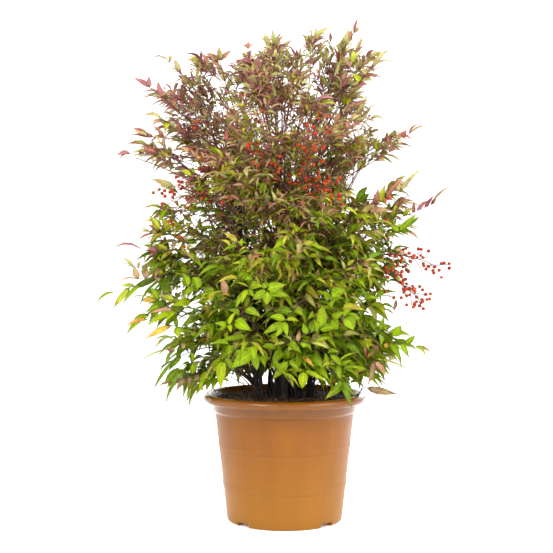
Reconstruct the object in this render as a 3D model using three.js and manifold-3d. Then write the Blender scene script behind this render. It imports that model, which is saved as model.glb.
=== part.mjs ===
// Heavenly bamboo (Nandina domestica) in a round nursery pot, in millimetres, +Z up.
// The origin is the middle of the pot's flat underside, and -Y is the plant's front.
// Canes stand on the compost. Leaf stalks leave the canes, and each ends 0.3 mm short of one
// mass of leaves: a compound leaf whose rachis bears pairs of pinnae, and those bear leaflets.
import * as THREE from 'three';
import { mergeVertices } from 'three/addons/utils/BufferGeometryUtils.js';
import Module from 'manifold-3d';

// Pot
const potHeight = 233;
const footRadius = 106;
const wallDraft = 0.113; // growth of the wall's radius for each mm of height
const wallThickness = 2.8;
const padRadius = 62; // flat pad in the middle of the underside
const channelDepth = 7; // drain channel between the pad and the foot ring
const collarBottom = 203;
const collarRadius = 133.5;
const rimRadius = 150;
const rimDepth = 15;
const mouthRadius = 136;
const bandHeight = 10; // raised bands round the wall
const bandRise = 0.8;
const bandBottoms = [62, 134];
const notchCount = 4;
const notchWidth = 28;
const notchHeight = 6.5;
const potSides = 32;

// Compost
const clearance = 0.3;
const compostTop = 226;
const compostEdge = 222;
const moundRadius = 78;

// Canes
const caneFootRadius = 6.4;
const caneTipRadius = 3.2;
const rootFlare = 2.4;
const flareHeight = 14;
const caneSides = 6;
const caneRings = 5;
const outerCanes = { count: 4, footReach: 44, topReach: 84, top: 560 };
const innerCanes = { count: 3, footReach: 17, topReach: 30, top: 640 };

// Leaf stalks and masses. Each tier is a ring of compound leaves: the height where they leave the
// canes (the top ones grow on from the canes' tips), the height of their tips, which rises by
// tilt towards the right (+X), how far they reach to the left and right, how high they arch, and
// how far those between the side leaves are turned round the plant.
const tiers = [
  { name: 'skirt', count: 6, from: 272, to: 284, tilt: 14, left: 300, right: 262, arch: 66, turn: 14 },
  { name: 'low', count: 6, from: 330, to: 384, tilt: -24, left: 350, right: 236, arch: 110, turn: -14 },
  { name: 'middle', count: 6, from: 396, to: 515, tilt: 0, left: 319, right: 271, arch: 150, turn: 14 },
  { name: 'shoulder', count: 6, from: 462, to: 652, tilt: -28, left: 313, right: 309, arch: 180, turn: -14 },
  { name: 'upper', count: 5, from: 498, to: 782, tilt: -58, left: 282, right: 262, arch: 214, turn: 0 },
  { name: 'high', count: 4, to: 862, tilt: 0, left: 235, right: 205, arch: 190, turn: 0 },
  { name: 'top', count: 3, to: 896, tilt: 28, left: 170, right: 150, arch: 190, turn: 180 },
];
const stalkedTiers = ['low', 'middle'];
const stalkShare = 0.28; // of the way from the cane to the leaf's tip
const stalkBaseRadius = 2.6;
const stalkTipRadius = 1.9;
const stalkSides = 4;
const stalkRings = 3;
const stepUp = 15; // between neighbouring leaves of a tier, as leaves alternate up a cane
const tierWave = 26; // every second leaf of a tier ends this much higher, the others lower

// Twigs and leaflets of a mass
const rachisTipRadius = 1;
const pinnaRadius = 1.2;
const pinnaTipRadius = 0.9;
const pinnaNodes = [0.16, 0.32, 0.48, 0.64, 0.79, 0.92]; // places of the pairs along the whole leaf
const pinnaLengths = [84, 84, 76, 58, 0, 0]; // the last pairs are single leaflets
const pinnaAngle = 58;
const leafLength = 88;
const leafWidth = 37;
const leafThickness = 2;
const widestAt = 0.42;
const cellMargin = 0.8;
const limbMargin = 1;
const lowestLeaf = potHeight + 4;
const leafSpacing = 8.6; // from the midribs of one mass's leaflets to its next leaflet
const seamTolerance = 0.35; // slivers smaller than this are closed up where leaflets join twigs

// Fruit: panicles of berries. A panicle's first branch leaves a cane, and the next ones fork from it.
// Each has its direction, reach, tip height and count of side stalks.
const berryRadius = 4.4;
const berriesPerStalk = 3;
const panicleBaseRadius = 2.4;
const panicleTipRadius = 1;
const forkAt = 0.42;
const goldenAngle = 137.5;
const panicles = [
  {
    name: 'right', from: 448, arch: 104, spread: 66, bare: 0.56, droop: 0.1,
    branches: [
      { azimuth: -13, reach: 284, to: 470, nodes: 6 },
      { azimuth: -19, reach: 262, to: 414, nodes: 4 },
    ],
  },
  {
    name: 'middle', from: 500, arch: 110, spread: 60, bare: 0.6, droop: 0,
    branches: [{ azimuth: -72, reach: 165, to: 690, nodes: 3 }],
  },
  {
    name: 'left', from: 485, arch: 80, spread: 62, bare: 0.5, droop: 0.9,
    branches: [{ azimuth: -156, reach: 272, to: 648, nodes: 4 }],
  },
];

const wasm = await Module();
wasm.setup();
const { Manifold } = wasm;
const up = new THREE.Vector3(0, 0, 1);
const turnOf = (degrees) => THREE.MathUtils.degToRad(degrees);

// The same number between 0 and 1 for the same three whole numbers.
function chance(a, b, c) {
  const s = Math.sin(a * 12.9898 + b * 78.233 + c * 37.719) * 43758.5453;
  return s - Math.floor(s);
}

const swing = (a, b, c) => 2 * chance(a, b, c) - 1;

const blend = (a, share, b, other) => a.clone().multiplyScalar(share).addScaledVector(b, other);

function polar(radius, degrees, z) {
  const turn = turnOf(degrees);
  return new THREE.Vector3(radius * Math.cos(turn), radius * Math.sin(turn), z);
}

// ---- solids ----

function solidOf(geometry) {
  const bare = geometry.index ? geometry.toNonIndexed() : geometry.clone();
  bare.deleteAttribute('normal');
  bare.deleteAttribute('uv');
  const merged = mergeVertices(bare, 1e-4);
  return new Manifold(
    new wasm.Mesh({
      numProp: 3,
      vertProperties: merged.attributes.position.array,
      triVerts: new Uint32Array(merged.index.array),
    }),
  );
}

function geometryOf(solid) {
  const mesh = solid.getMesh();
  const geometry = new THREE.BufferGeometry();
  geometry.setAttribute('position', new THREE.BufferAttribute(mesh.vertProperties, 3));
  geometry.setIndex(new THREE.BufferAttribute(mesh.triVerts, 1));
  geometry.computeVertexNormals();
  return geometry;
}

// Joins solids and keeps the one outer body: loose scraps and sealed hollows are dropped. Slivers
// are closed up to the tolerance, or to less of it where that would pinch two corners together.
function fuse(solids, tolerance) {
  const joined = Manifold.union(solids).asOriginal();
  let whole;
  for (const share of [1, 0.85, 0.7, 0.5, 0.3, 0.1]) {
    const bodies = joined.simplify(tolerance * share).decompose();
    whole = bodies.reduce((best, body) => (body.volume() > best.volume() ? body : best));
    if (!isPinched(whole)) break;
  }
  return whole;
}

function isPinched(solid) {
  const geometry = geometryOf(solid);
  geometry.deleteAttribute('normal');
  return mergeVertices(geometry, 1e-3).attributes.position.count < solid.numVert();
}

// A tapering limb: a cylinder bent along a curve, its radius given by the share of the way along.
function limb(curve, radiusAt, sides, rings) {
  const geometry = new THREE.CylinderGeometry(1, 1, 1, sides, rings);
  const frames = curve.computeFrenetFrames(rings);
  const position = geometry.attributes.position;
  const vertex = new THREE.Vector3();
  for (let i = 0; i < position.count; i++) {
    vertex.fromBufferAttribute(position, i);
    const ring = Math.round((vertex.y + 0.5) * rings);
    const radius = radiusAt(ring / rings);
    const normal = frames.normals[ring];
    const across = normal.clone().cross(frames.tangents[ring]);
    const point = curve
      .getPointAt(ring / rings)
      .addScaledVector(normal, vertex.x * radius)
      .addScaledVector(across, vertex.z * radius);
    position.setXYZ(i, point.x, point.y, point.z);
  }
  return solidOf(geometry);
}

const taper = (base, tip) => (share) => base + (tip - base) * share;

// The corners of a leaflet: tip, root, the two margins where it is widest, and the top of its midrib.
const leafCorners = [
  [1, 0, 0], [-1, 0, 0], [0, 1, 0], [0, -1, 0], [0, 0, 1],
];
const leafFaces = [
  [0, 2, 4], [0, 4, 3], [1, 4, 2], [1, 3, 4], [0, 3, 2], [1, 2, 3],
];

// A leaflet of six faces, widest before its middle, raised along its midrib and bowed so that the
// tip hangs.
function leaflet(leaf) {
  const geometry = new THREE.PolyhedronGeometry(leafCorners.flat(), leafFaces.flat(), 1, 0);
  const position = geometry.attributes.position;
  const corner = new THREE.Vector3();
  for (let i = 0; i < position.count; i++) {
    const point = leafPoint(leaf, corner.fromBufferAttribute(position, i));
    position.setXYZ(i, point.x, point.y, point.z);
  }
  return solidOf(geometry);
}

function leafPoint(leaf, corner) {
  const share = corner.x > 0.5 ? 1 : corner.x < -0.5 ? 0 : widestAt;
  const rise = share === widestAt ? leaf.bow * leaf.length : 0;
  return leaf.root
    .clone()
    .addScaledVector(leaf.along, share * leaf.length)
    .addScaledVector(leaf.side, (corner.y * leaf.width) / 2)
    .addScaledVector(leaf.normal, rise + corner.z * leafThickness);
}

// ---- where things are ----

// A path from its foot to its tip: out and up first, then arching over.
function archTo(foot, tip, arch, outShare) {
  const bend = foot.clone().lerp(tip, outShare);
  bend.z = foot.z + arch;
  return new THREE.QuadraticBezierCurve3(foot, bend, tip);
}

// The stretch of a quadratic curve between two shares of its parameter.
function stretch(curve, from, to) {
  const start = curve.getPoint(from);
  const end = curve.getPoint(to);
  const first = curve.v0.clone().lerp(curve.v1, from);
  const second = curve.v1.clone().lerp(curve.v2, from);
  return new THREE.QuadraticBezierCurve3(start, first.lerp(second, to), end);
}

function makeCane(index, kind, azimuth) {
  const foot = polar(kind.footReach * (1 + 0.2 * swing(index, 1, 1)), azimuth, compostTop + clearance);
  const top = polar(kind.topReach, azimuth + 8 * swing(index, 1, 2), kind.top - 12 * chance(index, 1, 3));
  const height = top.z - foot.z;
  const bend = foot.clone().addScaledVector(up, 0.3 * height);
  const curve = new THREE.QuadraticBezierCurve3(foot, bend, top);
  const radiusAt = (share) =>
    taper(caneFootRadius, caneTipRadius)(share) + rootFlare * Math.exp((-share * height) / flareHeight);
  return { name: `cane_${index + 1}`, index, azimuth, curve, radiusAt };
}

function makeCanes() {
  const canes = [];
  for (let i = 0; i < outerCanes.count; i++) {
    canes.push(makeCane(i, outerCanes, 180 + (i * 360) / outerCanes.count));
  }
  for (let i = 0; i < innerCanes.count; i++) {
    canes.push(makeCane(outerCanes.count + i, innerCanes, (i * 360) / innerCanes.count));
  }
  return canes;
}

// The outer or inner cane that stands nearest to a direction.
function caneToward(azimuth, isInner) {
  const outward = polar(1, azimuth, 0);
  const facing = (cane) => polar(1, cane.azimuth, 0).dot(outward);
  const group = isInner ? canes.slice(outerCanes.count) : canes.slice(0, outerCanes.count);
  return group.reduce((best, cane) => (facing(cane) > facing(best) ? cane : best));
}

function pointAtHeight(curve, z) {
  const rise = curve.v2.z - curve.v0.z;
  return curve.getPoint((z - curve.v0.z) / rise);
}

// One compound leaf of a tier: its whole path, and the stretches that are stalk and rachis.
function makeSpray(tier, tierIndex, index) {
  const key = tierIndex * 10 + index;
  const isEven = tier.count % 2 === 0;
  const atSide = isEven && index % (tier.count / 2) === 0;
  const azimuth = 180 + (index * 360) / tier.count + (atSide ? 0 : tier.turn);
  const sideways = Math.cos(turnOf(azimuth));
  const reach = (tier.left + tier.right) / 2 + ((tier.right - tier.left) / 2) * sideways;
  const shy = atSide ? 0 : 0.06 * chance(key, 2, 2);
  const wave = atSide || !isEven ? 0 : index % 2 ? tierWave : -tierWave;
  const tip = polar(reach * (1 - shy), azimuth, tier.to + tier.tilt * sideways + wave);
  const name = `${tier.name}_${index + 1}`;
  const onTop = tier.from === undefined;
  const carrier = caneToward(azimuth, tier.name === 'top');
  const path = onTop
    ? growOn(carrier, tip, tier.arch)
    : archTo(pointAtHeight(carrier.curve, tier.from + stepUp * (index % 3)), tip, tier.arch, 0.42);
  const hasStalk = stalkedTiers.includes(tier.name);
  const stalkEnd = hasStalk ? stalkShare : 0;
  const rachisEnd = 1 - leafLength / path.getLength();
  const look = looks[tier.name];
  return { name, key, look, azimuth, path, carrier, onTop, hasStalk, stalkEnd, rachisEnd };
}

// A path that grows on from a cane's tip in the cane's own direction.
function growOn(cane, tip, arch) {
  const foot = cane.curve.v2.clone();
  const bend = foot.clone().addScaledVector(cane.curve.getTangent(1), arch);
  return new THREE.QuadraticBezierCurve3(foot, bend, tip);
}

// ---- cells: each mass keeps to the space that is nearer to its own rachis than to any other ----

function distanceTo(point, line) {
  const part = new THREE.Vector3();
  let best = Infinity;
  for (let i = 0; i + 1 < line.length; i++) {
    new THREE.Line3(line[i], line[i + 1]).closestPointToPoint(point, true, part);
    best = Math.min(best, part.distanceTo(point));
  }
  return best;
}

function inOwnCell(owner, point) {
  const own = distanceTo(point, owner.axis);
  const isFar = (cell) => distanceTo(point, cell.axis) - own > 2 * cellMargin;
  return cells.every((cell) => cell === owner || isFar(cell));
}

function clearOfLimbs(point, spare) {
  return limbs.every((other) => distanceTo(point, other.line) > other.radius + limbMargin + spare);
}

function fits(owner, points, spare) {
  return points.every(
    (point) => point.z > lowestLeaf && clearOfLimbs(point, spare) && inOwnCell(owner, point),
  );
}

// ---- the rule by which a mass grows ----

function frameAt(curve, share) {
  const along = curve.getTangent(share);
  const side = along.clone().cross(up).normalize();
  const lift = side.clone().cross(along);
  return { point: curve.getPoint(share), along, side, lift };
}

function makeLeaf(root, along, normal, size, sink, key, number) {
  const direction = along.clone().normalize();
  const side = normal.clone().cross(direction).normalize();
  const face = direction.clone().cross(side);
  const roll = 0.35 * swing(key, number, 9);
  const turned = blend(side, Math.cos(roll), face, Math.sin(roll));
  const length = leafLength * size * (1 + 0.14 * swing(key, number, 8));
  return {
    root: root.clone().addScaledVector(direction, -sink),
    along: direction,
    side: turned,
    normal: direction.clone().cross(turned),
    length: length + sink,
    width: leafWidth * Math.sqrt(size) * (1 + 0.12 * swing(key, number, 7)),
    bow: 0.09,
  };
}

function leafSamples(leaf) {
  const corners = leafCorners.map((corner) => leafPoint(leaf, new THREE.Vector3(...corner)));
  const [tip, root, left, right, top] = corners;
  const margins = [left, right].flatMap((corner) => [
    corner.clone().lerp(tip, 0.35),
    corner.clone().lerp(tip, 0.7),
    corner.clone().lerp(root, 0.5),
  ]);
  return [tip, left, right, top, ...margins];
}

function midribOf(leaf) {
  const pointAt = (share) => leaf.root.clone().addScaledVector(leaf.along, share * leaf.length);
  return [0.2, 0.55, 0.95].map(pointAt);
}

// Tries a leaflet as the rule points it, then turned down, up and to the sides and shortened, and
// keeps the first that lies in the mass's own space and clear of its other leaflets.
function tryLeaf(mass, root, out, normal, size, sink, number) {
  const turns = [0, -0.35, 0.35, -0.7, 0.7, -1.1];
  for (let i = 0; i < turns.length; i++) {
    const direction = out.clone();
    direction.z += turns[i];
    const leaf = makeLeaf(root, direction, normal, size * (1 - 0.06 * i), sink, mass.spray.key, number);
    const samples = leafSamples(leaf);
    const isOpen = (rib) => samples.every((point) => distanceTo(point, rib) > leafSpacing);
    if (mass.midribs.every(isOpen) && fits(mass.spray, samples, 0)) {
      mass.midribs.push(midribOf(leaf));
      mass.solids.push(leaflet(leaf));
      leafTally += 1;
      return true;
    }
  }
  return false;
}

// A pinna: a twig with a pair of leaflets and one at its tip. It is shortened until it fits.
function tryPinna(mass, start, direction, normal, length, number) {
  for (const share of [1, 0.75, 0.5]) {
    const end = start.clone().addScaledVector(direction, length * share);
    end.z -= 0.08 * length * share;
    const twig = new THREE.LineCurve3(start, end);
    if (!fits(mass.spray, [0.4, 0.7, 1].map((at) => twig.getPoint(at)), pinnaRadius)) continue;
    const along = end.clone().sub(start).normalize();
    const across = normal.clone().cross(along).normalize();
    const placed = [0, 1, -1].filter((hand) => {
      const root = twig.getPoint(hand ? 0.52 : 0.97);
      const out = along.clone().addScaledVector(across, hand * 1.3);
      out.z -= 0.15;
      return tryLeaf(mass, root, out, normal, hand ? 0.9 : 1.05, 0.8 * pinnaRadius, number * 10 + hand);
    });
    if (placed.length) {
      mass.solids.push(limb(twig, taper(pinnaRadius, pinnaTipRadius), 3, 1));
      return true;
    }
  }
  return false;
}

function growMass(spray) {
  const baseRadius = spray.onTop ? 0.85 * caneTipRadius : spray.hasStalk ? stalkTipRadius : stalkBaseRadius;
  const rachis = stretch(spray.path, spray.stalkEnd, spray.rachisEnd);
  if (spray.onTop || spray.hasStalk) rachis.v0.addScaledVector(rachis.getTangent(0), clearance);
  const mass = { spray, midribs: [], solids: [limb(rachis, taper(baseRadius, rachisTipRadius), 3, 5)] };
  const outward = polar(1, spray.azimuth, 0);
  const sideways = polar(1, spray.azimuth + 90, 0);
  pinnaNodes.forEach((place, node) => {
    const share = (place * spray.rachisEnd - spray.stalkEnd) / (spray.rachisEnd - spray.stalkEnd);
    if (share < 0.04) return;
    const { point, along, side, lift } = frameAt(rachis, share);
    for (const hand of [1, -1]) {
      const number = node * 2 + (hand + 1) / 2;
      const lean = (node % 2 ? -1 : 1) * hand * (52 - 7 * node) + 26 * swing(spray.key, number, 3);
      const angle = turnOf(pinnaAngle + 8 * swing(spray.key, number, 5));
      const normal = up.clone().multiplyScalar(0.5);
      normal.addScaledVector(outward, 0.7 + 0.4 * swing(spray.key, number, 6));
      normal.addScaledVector(sideways, 0.8 * hand + 0.4 * swing(spray.key, number, 7));
      const length = pinnaLengths[node] * (1 + 0.12 * swing(spray.key, number, 4));
      [0, 45, -45, 80].some((more) => {
        const roll = turnOf(lean + more);
        const out = blend(side, hand * Math.cos(roll), lift, Math.sin(roll));
        const direction = blend(along, Math.cos(angle), out, Math.sin(angle));
        if (length) return tryPinna(mass, point, direction, normal, length, number);
        return tryLeaf(mass, point, direction, normal, 1, rachisTipRadius, number * 10);
      });
    }
  });
  const { point, along, lift } = frameAt(rachis, 0.98);
  const facing = lift.clone().addScaledVector(sideways, swing(spray.key, 1, 8));
  tryLeaf(mass, point, along, facing, 1, rachisTipRadius, 999);
  return fuse(mass.solids, seamTolerance);
}

// A panicle: on each branch, side stalks round it by the golden angle, and berries on each of them.
function growPanicle(panicle, index) {
  const solids = panicle.paths.map((path) => limb(path, taper(panicleBaseRadius, panicleTipRadius), 3, 5));
  panicle.paths.forEach((path, branch) => {
    const { nodes } = panicle.branches[branch];
    const bare = branch ? 0.3 : panicle.bare;
    for (let node = 0; node < nodes; node++) {
      const key = 20 * index + 10 * branch + node;
      const { point, along, side, lift } = frameAt(path, bare + ((0.97 - bare) * node) / (nodes - 1));
      const turn = turnOf(node * goldenAngle + 60 * chance(key, 21, 1));
      const out = blend(side, Math.cos(turn), lift, Math.sin(turn));
      const direction = blend(along, 0.75, out, 0.66);
      direction.z -= panicle.droop;
      direction.normalize();
      const length = panicle.spread * (1 - 0.45 * (node / nodes));
      const twig = new THREE.LineCurve3(point, point.clone().addScaledVector(direction, length));
      if (fits(panicle, [twig.v2], berryRadius)) growSideStalk(panicle, solids, twig, side, lift, key);
    }
  });
  return fuse(solids, 0.1);
}

function growSideStalk(panicle, solids, twig, side, lift, key) {
  solids.push(limb(twig, taper(1.1, 0.9), 3, 1));
  for (let i = 0; i < berriesPerStalk; i++) {
    const isLast = i === berriesPerStalk - 1;
    const spin = turnOf(i * 150 + 90 * chance(key, 22, 1));
    const fan = blend(side, Math.cos(spin), lift, Math.sin(spin));
    const lean = isLast ? twig.getTangent(1) : fan;
    const centre = twig.getPoint(isLast ? 1 : 0.5 + 0.26 * i).addScaledVector(lean, 0.75 * berryRadius);
    if (!fits(panicle, [centre], berryRadius)) continue;
    solids.push(berry(centre));
    berryTally += 1;
  }
}

function berry(centre) {
  return solidOf(new THREE.IcosahedronGeometry(berryRadius, 0).translate(centre.x, centre.y, centre.z));
}

// ---- pot and compost ----

const wallAt = (z) => footRadius + wallDraft * z;
const floorTop = channelDepth + wallThickness;
const shoulderRadius = wallAt(collarBottom) - 1.8; // inside the pot, level with the collar's foot

// Radius of the pot's inner face above the collar's foot.
function throatAt(z) {
  const share = (z - collarBottom) / (potHeight - 3 - collarBottom);
  return shoulderRadius + (mouthRadius - shoulderRadius) * share;
}

function band(bottom) {
  const edge = 1;
  return [
    [wallAt(bottom - edge), bottom - edge],
    [wallAt(bottom) + bandRise, bottom],
    [wallAt(bottom + bandHeight) + bandRise, bottom + bandHeight],
    [wallAt(bottom + bandHeight + edge), bottom + bandHeight + edge],
  ];
}

function turned(profile) {
  const points = profile.map(([radius, z]) => new THREE.Vector2(radius, z));
  return solidOf(new THREE.LatheGeometry(points, potSides).rotateX(Math.PI / 2));
}

function makePot() {
  const ringInner = wallAt(0) - 13;
  const rimBottom = potHeight - rimDepth;
  const outside = [
    [0, 0], [padRadius, 0], [padRadius + 3, channelDepth], [ringInner - 3, channelDepth], [ringInner, 0],
    [footRadius - 2, 0], [wallAt(2), 2],
    ...bandBottoms.flatMap(band),
    [wallAt(collarBottom - 3), collarBottom - 3], [collarRadius, collarBottom],
    [collarRadius + 1, rimBottom], [rimRadius - 3, rimBottom], [rimRadius, rimBottom + 3], [rimRadius, potHeight - 4],
    [rimRadius - 3, potHeight], [mouthRadius + 2, potHeight], [mouthRadius, potHeight - 3],
  ];
  const inside = [
    [shoulderRadius, collarBottom], [wallAt(floorTop) - wallThickness, floorTop],
    [0, floorTop],
  ];
  const notch = new THREE.BoxGeometry(30, notchWidth, 2 * notchHeight);
  const cuts = Array.from({ length: notchCount }, (_, i) => {
    const turn = ((i + 0.5) * 2 * Math.PI) / notchCount;
    return solidOf(notch.clone().translate(footRadius, 0, 0).rotateZ(turn));
  });
  return turned([...outside, ...inside]).subtract(Manifold.union(cuts));
}

function makeCompost() {
  const bottom = floorTop + clearance;
  const gap = 1.1 * clearance;
  return turned([
    [0, bottom], [wallAt(floorTop) - wallThickness - gap, bottom], [shoulderRadius - gap, collarBottom],
    [throatAt(compostEdge) - gap, compostEdge], [moundRadius, compostTop], [0, compostTop],
  ]);
}

// ---- assembly ----

const materials = {
  pot: new THREE.MeshStandardMaterial({ color: 0xb86f2c, roughness: 0.42, metalness: 0 }),
  compost: new THREE.MeshStandardMaterial({ color: 0x1d1611, roughness: 0.95, metalness: 0 }),
  cane: new THREE.MeshStandardMaterial({ color: 0x33241d, roughness: 0.8, metalness: 0 }),
  stalk: new THREE.MeshStandardMaterial({ color: 0x5d3a30, roughness: 0.6, metalness: 0 }),
  green: new THREE.MeshStandardMaterial({ color: 0x6d9512, roughness: 0.5, metalness: 0 }),
  olive: new THREE.MeshStandardMaterial({ color: 0x7a7d2c, roughness: 0.5, metalness: 0 }),
  bronze: new THREE.MeshStandardMaterial({ color: 0x7b4a3c, roughness: 0.5, metalness: 0 }),
  fruit: new THREE.MeshStandardMaterial({ color: 0xd8431a, roughness: 0.35, metalness: 0 }),
};
const looks = {
  skirt: 'green',
  low: 'green',
  middle: 'olive',
  shoulder: 'olive',
  upper: 'bronze',
  high: 'bronze',
  top: 'bronze',
};
const plant = new THREE.Group();
plant.name = 'heavenly bamboo in its pot';

function place(name, solid, look) {
  const mesh = new THREE.Mesh(geometryOf(solid), materials[look]);
  mesh.name = name;
  plant.add(mesh);
}

const canes = makeCanes();
const sprays = tiers.flatMap((tier, tierIndex) =>
  Array.from({ length: tier.count }, (_, index) => makeSpray(tier, tierIndex, index)),
);
for (const panicle of panicles) {
  const [first, ...forks] = panicle.branches.map(({ reach, azimuth, to }) => polar(reach, azimuth, to));
  panicle.carrier = caneToward(panicle.branches[0].azimuth, false);
  const main = archTo(pointAtHeight(panicle.carrier.curve, panicle.from), first, panicle.arch, 0.45);
  const fork = main.getPoint(forkAt);
  panicle.paths = [main, ...forks.map((tip) => archTo(fork, tip, 0.02 * panicle.arch, 0.5))];
  const back = main.getPoints(9).slice(3).reverse();
  panicle.axis = forks.length ? [...back, ...panicle.paths[1].getPoints(6)] : back;
}
for (const spray of sprays) {
  spray.axis = stretch(spray.path, Math.max(0.1, spray.stalkEnd), 1).getPoints(7);
}
const cells = [...sprays, ...panicles];
const stalked = sprays.filter((spray) => spray.hasStalk);
const limbs = [
  ...canes.map((cane) => ({ line: cane.curve.getPoints(8), radius: caneFootRadius })),
  ...stalked.map((spray) => ({
    line: stretch(spray.path, 0, spray.stalkEnd).getPoints(5),
    radius: stalkBaseRadius,
  })),
];
let leafTally = 0;
let berryTally = 0;

// A limb's foot is cut to the cane that bears it, the clearance away from its bark.
function seatOn(carrier, solid) {
  const radiusAt = (share) => carrier.radiusAt(share) + 1.15 * clearance;
  return fuse([solid.subtract(limb(carrier.curve, radiusAt, caneSides, caneRings))], 0.02);
}

place('pot', makePot(), 'pot');
place('compost', makeCompost(), 'compost');
for (const cane of canes) {
  place(cane.name, limb(cane.curve, cane.radiusAt, caneSides, caneRings), 'cane');
}
for (const spray of stalked) {
  const stalk = stretch(spray.path, 0, spray.stalkEnd);
  const solid = limb(stalk, taper(stalkBaseRadius, stalkTipRadius), stalkSides, stalkRings);
  place(`stalk_${spray.name}`, seatOn(spray.carrier, solid), 'stalk');
}
for (const spray of sprays) {
  const mass = growMass(spray);
  const seated = spray.onTop || spray.hasStalk ? mass : seatOn(spray.carrier, mass);
  place(`leaves_${spray.name}`, seated, spray.look);
}
panicles.forEach((panicle, index) => {
  place(`fruit_${panicle.name}`, seatOn(panicle.carrier, growPanicle(panicle, index)), 'fruit');
});
console.log(`${leafTally} leaflets, ${berryTally} berries`);

export default plant;
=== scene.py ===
import bpy
import numpy as np
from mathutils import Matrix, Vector


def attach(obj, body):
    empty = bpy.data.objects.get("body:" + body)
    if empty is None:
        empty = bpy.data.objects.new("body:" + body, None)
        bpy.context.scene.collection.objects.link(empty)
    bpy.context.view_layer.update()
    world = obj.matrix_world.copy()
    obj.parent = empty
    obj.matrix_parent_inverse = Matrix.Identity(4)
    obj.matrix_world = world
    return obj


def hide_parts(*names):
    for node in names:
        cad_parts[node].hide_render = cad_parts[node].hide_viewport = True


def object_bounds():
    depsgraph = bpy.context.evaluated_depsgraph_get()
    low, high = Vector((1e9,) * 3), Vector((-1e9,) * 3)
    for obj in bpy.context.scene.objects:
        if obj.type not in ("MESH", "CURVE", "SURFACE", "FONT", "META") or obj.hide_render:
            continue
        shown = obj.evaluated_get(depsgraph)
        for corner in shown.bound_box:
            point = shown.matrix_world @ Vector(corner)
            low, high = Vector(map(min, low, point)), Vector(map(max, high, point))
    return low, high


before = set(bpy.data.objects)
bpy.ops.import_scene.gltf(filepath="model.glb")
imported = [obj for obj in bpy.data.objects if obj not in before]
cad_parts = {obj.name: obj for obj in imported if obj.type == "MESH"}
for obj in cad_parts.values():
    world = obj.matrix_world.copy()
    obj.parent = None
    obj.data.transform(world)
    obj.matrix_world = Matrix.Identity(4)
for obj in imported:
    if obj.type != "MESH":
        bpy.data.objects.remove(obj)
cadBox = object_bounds()
metres = 0.001
up = np.array([0.0, 0.0, 1.0])
scene = bpy.context.scene
scene.view_settings.view_transform = "Standard"

cameraFacts = {
    "aside": -14.9, "distance": 2076.7, "height": 489.5, "pitch": 1.16, "lens": 73.13, "sensor": 36,
    "picture": 553,
}


def placeCamera():
    # it looks along y from the front, tipped down by the pitch
    data = bpy.data.cameras.new("camera")
    data.sensor_width = cameraFacts["sensor"]
    data.lens = cameraFacts["lens"]
    camera = bpy.data.objects.new("camera", data)
    place = (cameraFacts["aside"], -cameraFacts["distance"], cameraFacts["height"])
    camera.location = [metres * x for x in place]
    camera.rotation_euler = (np.radians(90 - cameraFacts["pitch"]), 0, 0)
    scene.collection.objects.link(camera)
    scene.camera = camera


placeCamera()

lamps = {  # place in metres, side of the square lamp, watts
    "key": {"place": (-1.7, -2.3, 2.3), "side": 1.6, "power": 70},
    "fill": {"place": (2.4, -1.5, 1.9), "side": 2.2, "power": 66},
    "top": {"place": (0.2, 0.5, 2.7), "side": 2.2, "power": 50},
    "back": {"place": (1.0, 2.2, 1.5), "side": 1.8, "power": 32},
}
lampsAim = (0, 0, 0.55)
studioLight = 0.98  # strength of the white room


def placeLamps():
    # soft square lamps that all face the middle of the plant, in a white room
    for name, facts in lamps.items():
        data = bpy.data.lights.new(name, "AREA")
        data.size = facts["side"]
        data.energy = facts["power"]
        lamp = bpy.data.objects.new(name, data)
        lamp.location = facts["place"]
        aim = Vector(lampsAim) - Vector(facts["place"])
        lamp.rotation_euler = aim.to_track_quat("-Z", "Y").to_euler()
        scene.collection.objects.link(lamp)
    world = bpy.data.worlds.new("studio")
    world.use_nodes = True
    world.node_tree.nodes["Background"].inputs["Color"].default_value = (1, 1, 1, 1)
    world.node_tree.nodes["Background"].inputs["Strength"].default_value = studioLight
    scene.world = world


placeLamps()
print("camera and lamps placed")


def chance(a, b, c):
    # the same number between 0 and 1 for the same three numbers: what a large sine leaves after its point
    s = np.sin(np.asarray(a) * 12.9898 + np.asarray(b) * 78.233 + np.asarray(c) * 37.719) * 43758.5453
    return s - np.floor(s)


def swing(a, b, c):
    # the same between -1 and 1
    return 2 * chance(a, b, c) - 1


def between(ends, share):
    # from the first of two numbers to the second
    return ends[0] + (ends[1] - ends[0]) * share


def unit(v):
    # a direction: the vector over its own length
    return v / np.maximum(np.linalg.norm(v, axis=-1, keepdims=True), 1e-9)


def around(radius, turn, z):
    # points at that radius and turn about the upright axis, and at that height
    return np.stack(np.broadcast_arrays(radius * np.cos(turn), radius * np.sin(turn), z), -1)


def polar(radius, degrees, z):
    # the same, with the turn in degrees: 0 is to the right, 180 to the left and -90 to the front
    return around(radius, np.radians(degrees), z)


def onCurve(curve, share):
    # a quadratic curve through its first and last point, pulled to its middle one
    t = np.asarray(share)[..., None]
    return (1 - t) ** 2 * curve[..., 0, :] + 2 * t * (1 - t) * curve[..., 1, :] + t ** 2 * curve[..., 2, :]


def headingOn(curve, share):
    # the way such a curve runs there: between its first leg and its second
    t = np.asarray(share)[..., None]
    return unit((1 - t) * (curve[..., 1, :] - curve[..., 0, :]) + t * (curve[..., 2, :] - curve[..., 1, :]))


def rough(points, size):
    # value noise from -1 to 1: numbers by chance on a lattice, blended smoothly between its corners
    p = points / size
    low = np.floor(p)
    f = p - low
    f = f * f * (3 - 2 * f)
    total = 0
    for corner in np.ndindex(2, 2, 2):
        share = np.prod(np.where(np.array(corner), f, 1 - f), axis=-1)
        x, y, z = np.moveaxis(low + np.array(corner), -1, 0)
        total = total + share * chance(x, y + 0.37 * z, z + 11)
    return 2 * total - 1


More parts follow.
